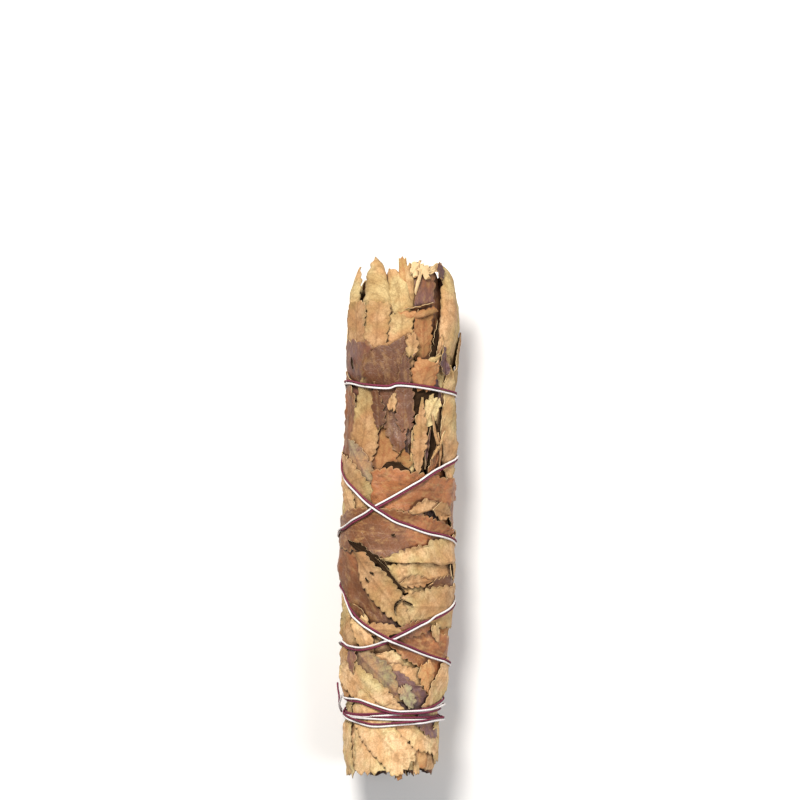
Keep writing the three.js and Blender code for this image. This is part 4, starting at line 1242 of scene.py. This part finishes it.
def below_thread(turn, station):
    """Places under the middle and the sides of a thread."""
    reaches = (-THREAD_RADIUS, 0, THREAD_RADIUS)
    return [(turn + across / SURFACE_RADIUS, station + along) for across in reaches for along in reaches]


def thread_floor(turn, station):
    best = 0
    for spot in below_thread(turn, station):
        best = np.maximum(best, surface.floor(*spot))
    return best + THREAD_RADIUS + 0.03


def taut(turn, station):
    """Radius of a thread drawn tight: it rests on what stands highest and is straight between."""
    floor = thread_floor(turn, station)
    radius = floor.copy()
    for gap in THREAD_PULLS:
        before, after = np.roll(radius, gap), np.roll(radius, -gap)
        before[:gap], after[-gap:] = radius[:gap], radius[-gap:]
        start, end = np.roll(turn, gap), np.roll(turn, -gap)
        start[:gap], end[-gap:] = turn[:gap], turn[-gap:]
        chord = 0.5 * (before * np.cos(turn - start) + after * np.cos(end - turn))
        radius = np.maximum(floor, np.maximum(radius, chord))
    return radius


def plied_tube(points, diameter, ply_depth, seed):
    """A tube along points whose section shows three twisted plies."""
    tangent = unit(np.gradient(points, axis=0))
    aside = unit(np.cross(tangent, unit(points * (1, 0, 1))))
    upright = np.cross(aside, tangent)
    length = lengths(points)
    angle = np.linspace(0, 2 * math.pi, THREAD_SIDES, endpoint=False)[None, :]
    twist = 2 * math.pi * length[:, None] / PLY_PITCH
    fuzz = 0.03 * ripple(length[:, None] * 3, angle * 4, 5, seed)
    radius = diameter * (0.5 - ply_depth * 0.5 + ply_depth * 0.5 * np.cos(PLIES * (angle - twist)) + fuzz)
    ends = np.minimum(1, np.minimum(length, length[-1] - length)[:, None] / 0.4 + 0.02)
    radius = radius * ends
    ring = points[:, None] + radius[..., None] * (
        np.cos(angle)[..., None] * upright[:, None] + np.sin(angle)[..., None] * aside[:, None]
    )
    faces = grid_faces(len(points), THREAD_SIDES, closed=True)
    wound = angle - twist
    places = np.stack([length[:, None] + 0 * angle, 0.5 * np.cos(wound), 0.5 * np.sin(wound)], axis=-1)
    patch = Patch()
    patch.add(ring.reshape(-1, 3), faces, np.zeros(len(faces), dtype=int), places.reshape(-1, 3),
              np.zeros((ring.size // 3, 3)))
    return patch


def swapped(turn):
    """Share of a half twist by which the two threads have changed places."""
    return np.interp(np.degrees(turn), *zip(*THREAD_SWAPS))


def thread_route():
    """Turns, stations and directions of the middle of the pair of threads, and where it starts back."""
    route = [(math.radians(turn) * SURFACE_RADIUS, station) for turn, station in ROUTE_UP + ROUTE_DOWN]
    middle = catmull(route, 0.5)
    tangent = unit(np.gradient(middle, axis=0))
    return middle[:, 0] / SURFACE_RADIUS, middle[:, 1], tangent, math.radians(ROUTE_DOWN[0][0])


class STICK_OT_threads(StickOperator):
    """Wind the white and the burgundy thread, the second stretch over the first"""

    bl_idname = "stick.threads"
    bl_label = "Threads"

    def execute(self, context):
        middle_turn, middle_station, tangent, join = thread_route()
        strands = {}
        twist = math.pi * swapped(middle_turn)
        for name, side in (("burgundy_thread", 0.5), ("white_thread", -0.5)):
            offset = side * THREAD_SPACING * np.cos(twist)
            turn = middle_turn - tangent[:, 1] * offset / SURFACE_RADIUS
            strands[name] = (turn, middle_station + tangent[:, 0] * offset)
        wound = {name: np.zeros(len(middle_turn)) for name in strands}
        for stretch in (middle_turn < join, middle_turn >= join):
            for name, (turn, station) in strands.items():
                wound[name][stretch] = taut(turn[stretch], station[stretch])
            for name, (turn, station) in strands.items():
                self.stamp(turn[stretch], station[stretch], wound[name][stretch])
        wound["white_thread"] = wound["white_thread"] + THREAD_DIAMETER * np.sin(twist)
        for name, (turn, station) in strands.items():
            points = place(turn, station, self.smooth(wound[name]))
            patch = plied_tube(points, THREAD_DIAMETER, self.sizes.ply_depth, SEEDS["thread"])
            tail = catmull(route_places(THREAD_TAILS[name]), 0.3)
            patch.join(plied_tube(tail, THREAD_DIAMETER, self.sizes.ply_depth, SEEDS["tail"]))
            piece = mesh_piece(f"wound_{name}", patch, {FACE_KINDS[0]: palette[name]})
            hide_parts(name)
        return {"FINISHED"}

    @staticmethod
    def smooth(radius):
        window = np.hanning(9)
        wide = np.pad(radius, 4, mode="edge")
        return np.maximum(radius, np.convolve(wide, window / window.sum(), mode="valid"))

    @staticmethod
    def stamp(turn, station, radius):
        keep = slice(0, max(1, len(turn) - FREE_AT_JOIN))
        for spot in below_thread(turn[keep], station[keep]):
            surface.stamp(place(*spot, radius[keep] + THREAD_RADIUS))


class STICK_OT_resting_leaves(StickOperator):
    """Lay the leaves that belly out underneath and carry the stick"""

    bl_idname = "stick.resting_leaves"
    bl_label = "Resting leaves"

    def execute(self, context):
        for number, item in enumerate(RESTING_LEAVES):
            seed = SEEDS["resting"] + number
            sheet = leaf_sheet(item, self.sizes, seed)
            across, along, places, _, share = sheet
            turn, station = wrap(item, across, along)
            radius = settle(turn, station, LAYER)
            belly = smoothstep(0.25, 0.75, np.sin(math.pi * share))
            sideways = np.abs(radius * np.sin(turn))
            flat = belly * (1 - smoothstep(*RESTING_FLAT, sideways))
            table = (AXIS_HEIGHT - RESTING_GAP) / np.abs(np.cos(turn))
            radius = np.maximum(radius, radius + flat * (table - radius))
            points = place(turn, station, np.minimum(radius, table))
            relief = 0.1 * vein_relief(places, item.face)
            thickness = self.sizes.leaf_thickness
            patch = leaf_patch(item, sheet, points, relief, thickness, seed, thinning=0, covers=False)
            piece = mesh_piece(f"leaf_{item.name}", patch, palette)
            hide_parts(item.name)
        return {"FINISHED"}


class STICK_OT_painted_shade(StickOperator):
    """Mark how deep each point lies below what is round it, for the painted shade in the gaps"""

    bl_idname = "stick.dust"
    bl_label = "Shade in the gaps"

    def execute(self, context):
        fields = [surface.blurred(reach) for reach in PAINTED_SHADE_REACHES]
        for piece in pieces:
            mesh = piece.data
            points = np.empty(3 * len(mesh.vertices))
            mesh.vertices.foreach_get("co", points)
            points = points.reshape(-1, 3) / MM - AXIS
            near, radius = surface.nearest(points)
            depth = np.stack([field[near] - radius for field in fields] + [0 * radius], axis=-1)
            marks = mesh.attributes.new("leaf_depth", "FLOAT_VECTOR", "POINT")
            marks.data.foreach_set("vector", depth.astype(np.float32).ravel())
        return {"FINISHED"}


class STICK_OT_stage(StickOperator):
    """Set the floor, the lights and the camera over the stick"""

    bl_idname = "stick.stage"
    bl_label = "Stage"

    def execute(self, context):
        scene = context.scene
        self.floor()
        scene.world = bpy.data.worlds.new("studio")
        scene.world.use_nodes = True
        background = scene.world.node_tree.nodes["Background"]
        background.inputs["Color"].default_value, background.inputs["Strength"].default_value = SKY
        for light in LIGHTS:
            self.light(*light)
        scene.view_settings.view_transform = "Standard"
        camera_data = bpy.data.cameras.new("camera")
        camera = bpy.data.objects.new("camera", camera_data)
        scene.collection.objects.link(camera)
        half_field = 0.5 * FRAME_PIXELS * PIXEL
        camera_data.sensor_width = SENSOR_WIDTH
        camera_data.lens = 0.5 * SENSOR_WIDTH * CAMERA_HEIGHT / half_field
        camera_data.clip_end = 10
        right = (FRAME_PIXELS / 2 - STICK_PIXEL[0]) * PIXEL
        up = (STICK_PIXEL[1] - FRAME_PIXELS / 2) * PIXEL
        x = right * math.cos(STICK_LEAN) - up * math.sin(STICK_LEAN)
        y = right * math.sin(STICK_LEAN) + up * math.cos(STICK_LEAN)
        camera.location = (x * MM, y * MM, (AXIS_HEIGHT + CAMERA_HEIGHT) * MM)
        camera.rotation_euler = (0, 0, STICK_LEAN)
        scene.camera = camera
        return {"FINISHED"}

    def floor(self):
        mesh = bpy.data.meshes.new("floor")
        corners = [(x * FLOOR_HALF, y * FLOOR_HALF, 0) for x, y in ((-1, -1), (1, -1), (1, 1), (-1, 1))]
        mesh.from_pydata(corners, [], [(0, 1, 2, 3)])
        floor = bpy.data.objects.new("floor", mesh)
        bpy.context.scene.collection.objects.link(floor)
        shader = Shader("floor")
        mesh.materials.append(shader.finish(Base_Color=shade(self.colours.floor), Roughness=0.9))

    def light(self, name, place_at, size, power, colour):
        data = bpy.data.lights.new(name, "AREA")
        data.shape = "DISK"
        data.size = size
        data.energy = power
        data.color = colour
        lamp = bpy.data.objects.new(name, data)
        lamp.location = place_at
        direction = np.array([0, 0, 0.02]) - np.array(place_at)
        yaw = math.atan2(direction[1], direction[0])
        pitch = math.atan2(math.hypot(direction[0], direction[1]), -direction[2])
        lamp.rotation_euler = (pitch, 0, yaw - math.pi / 2)
        bpy.context.scene.collection.objects.link(lamp)


STEPS = (
    STICK_OT_inner_bundle,
    STICK_OT_fingers,
    STICK_OT_outer_leaves,
    STICK_OT_threads,
    STICK_OT_resting_leaves,
    STICK_OT_painted_shade,
    STICK_OT_stage,
)


class STICK_PT_panel(bpy.types.Panel):
    """The steps of the stick, in order"""

    bl_label = "Smudge Stick"
    bl_space_type = "VIEW_3D"
    bl_region_type = "UI"
    bl_category = "Smudge Stick"

    def draw(self, context):
        for step in STEPS:
            self.layout.operator(step.bl_idname)
        for group in (context.scene.stick_sizes, context.scene.stick_colours):
            for name in group.__annotations__:
                self.layout.prop(group, name)


CLASSES = (StickSizes, StickColours) + STEPS + (STICK_PT_panel,)


def register():
    for item in CLASSES:
        bpy.utils.register_class(item)
    bpy.types.Scene.stick_sizes = PointerProperty(type=StickSizes)
    bpy.types.Scene.stick_colours = PointerProperty(type=StickColours)


def unregister():
    del bpy.types.Scene.stick_colours
    del bpy.types.Scene.stick_sizes
    for item in reversed(CLASSES):
        bpy.utils.unregister_class(item)


def main():
    register()
    bpy.ops.stick.inner_bundle()
    bpy.ops.stick.fingers()
    bpy.ops.stick.outer_leaves()
    bpy.ops.stick.threads()
    bpy.ops.stick.resting_leaves()
    bpy.ops.stick.dust()
    bpy.ops.stick.stage()


if __name__ == "__main__":
    main()
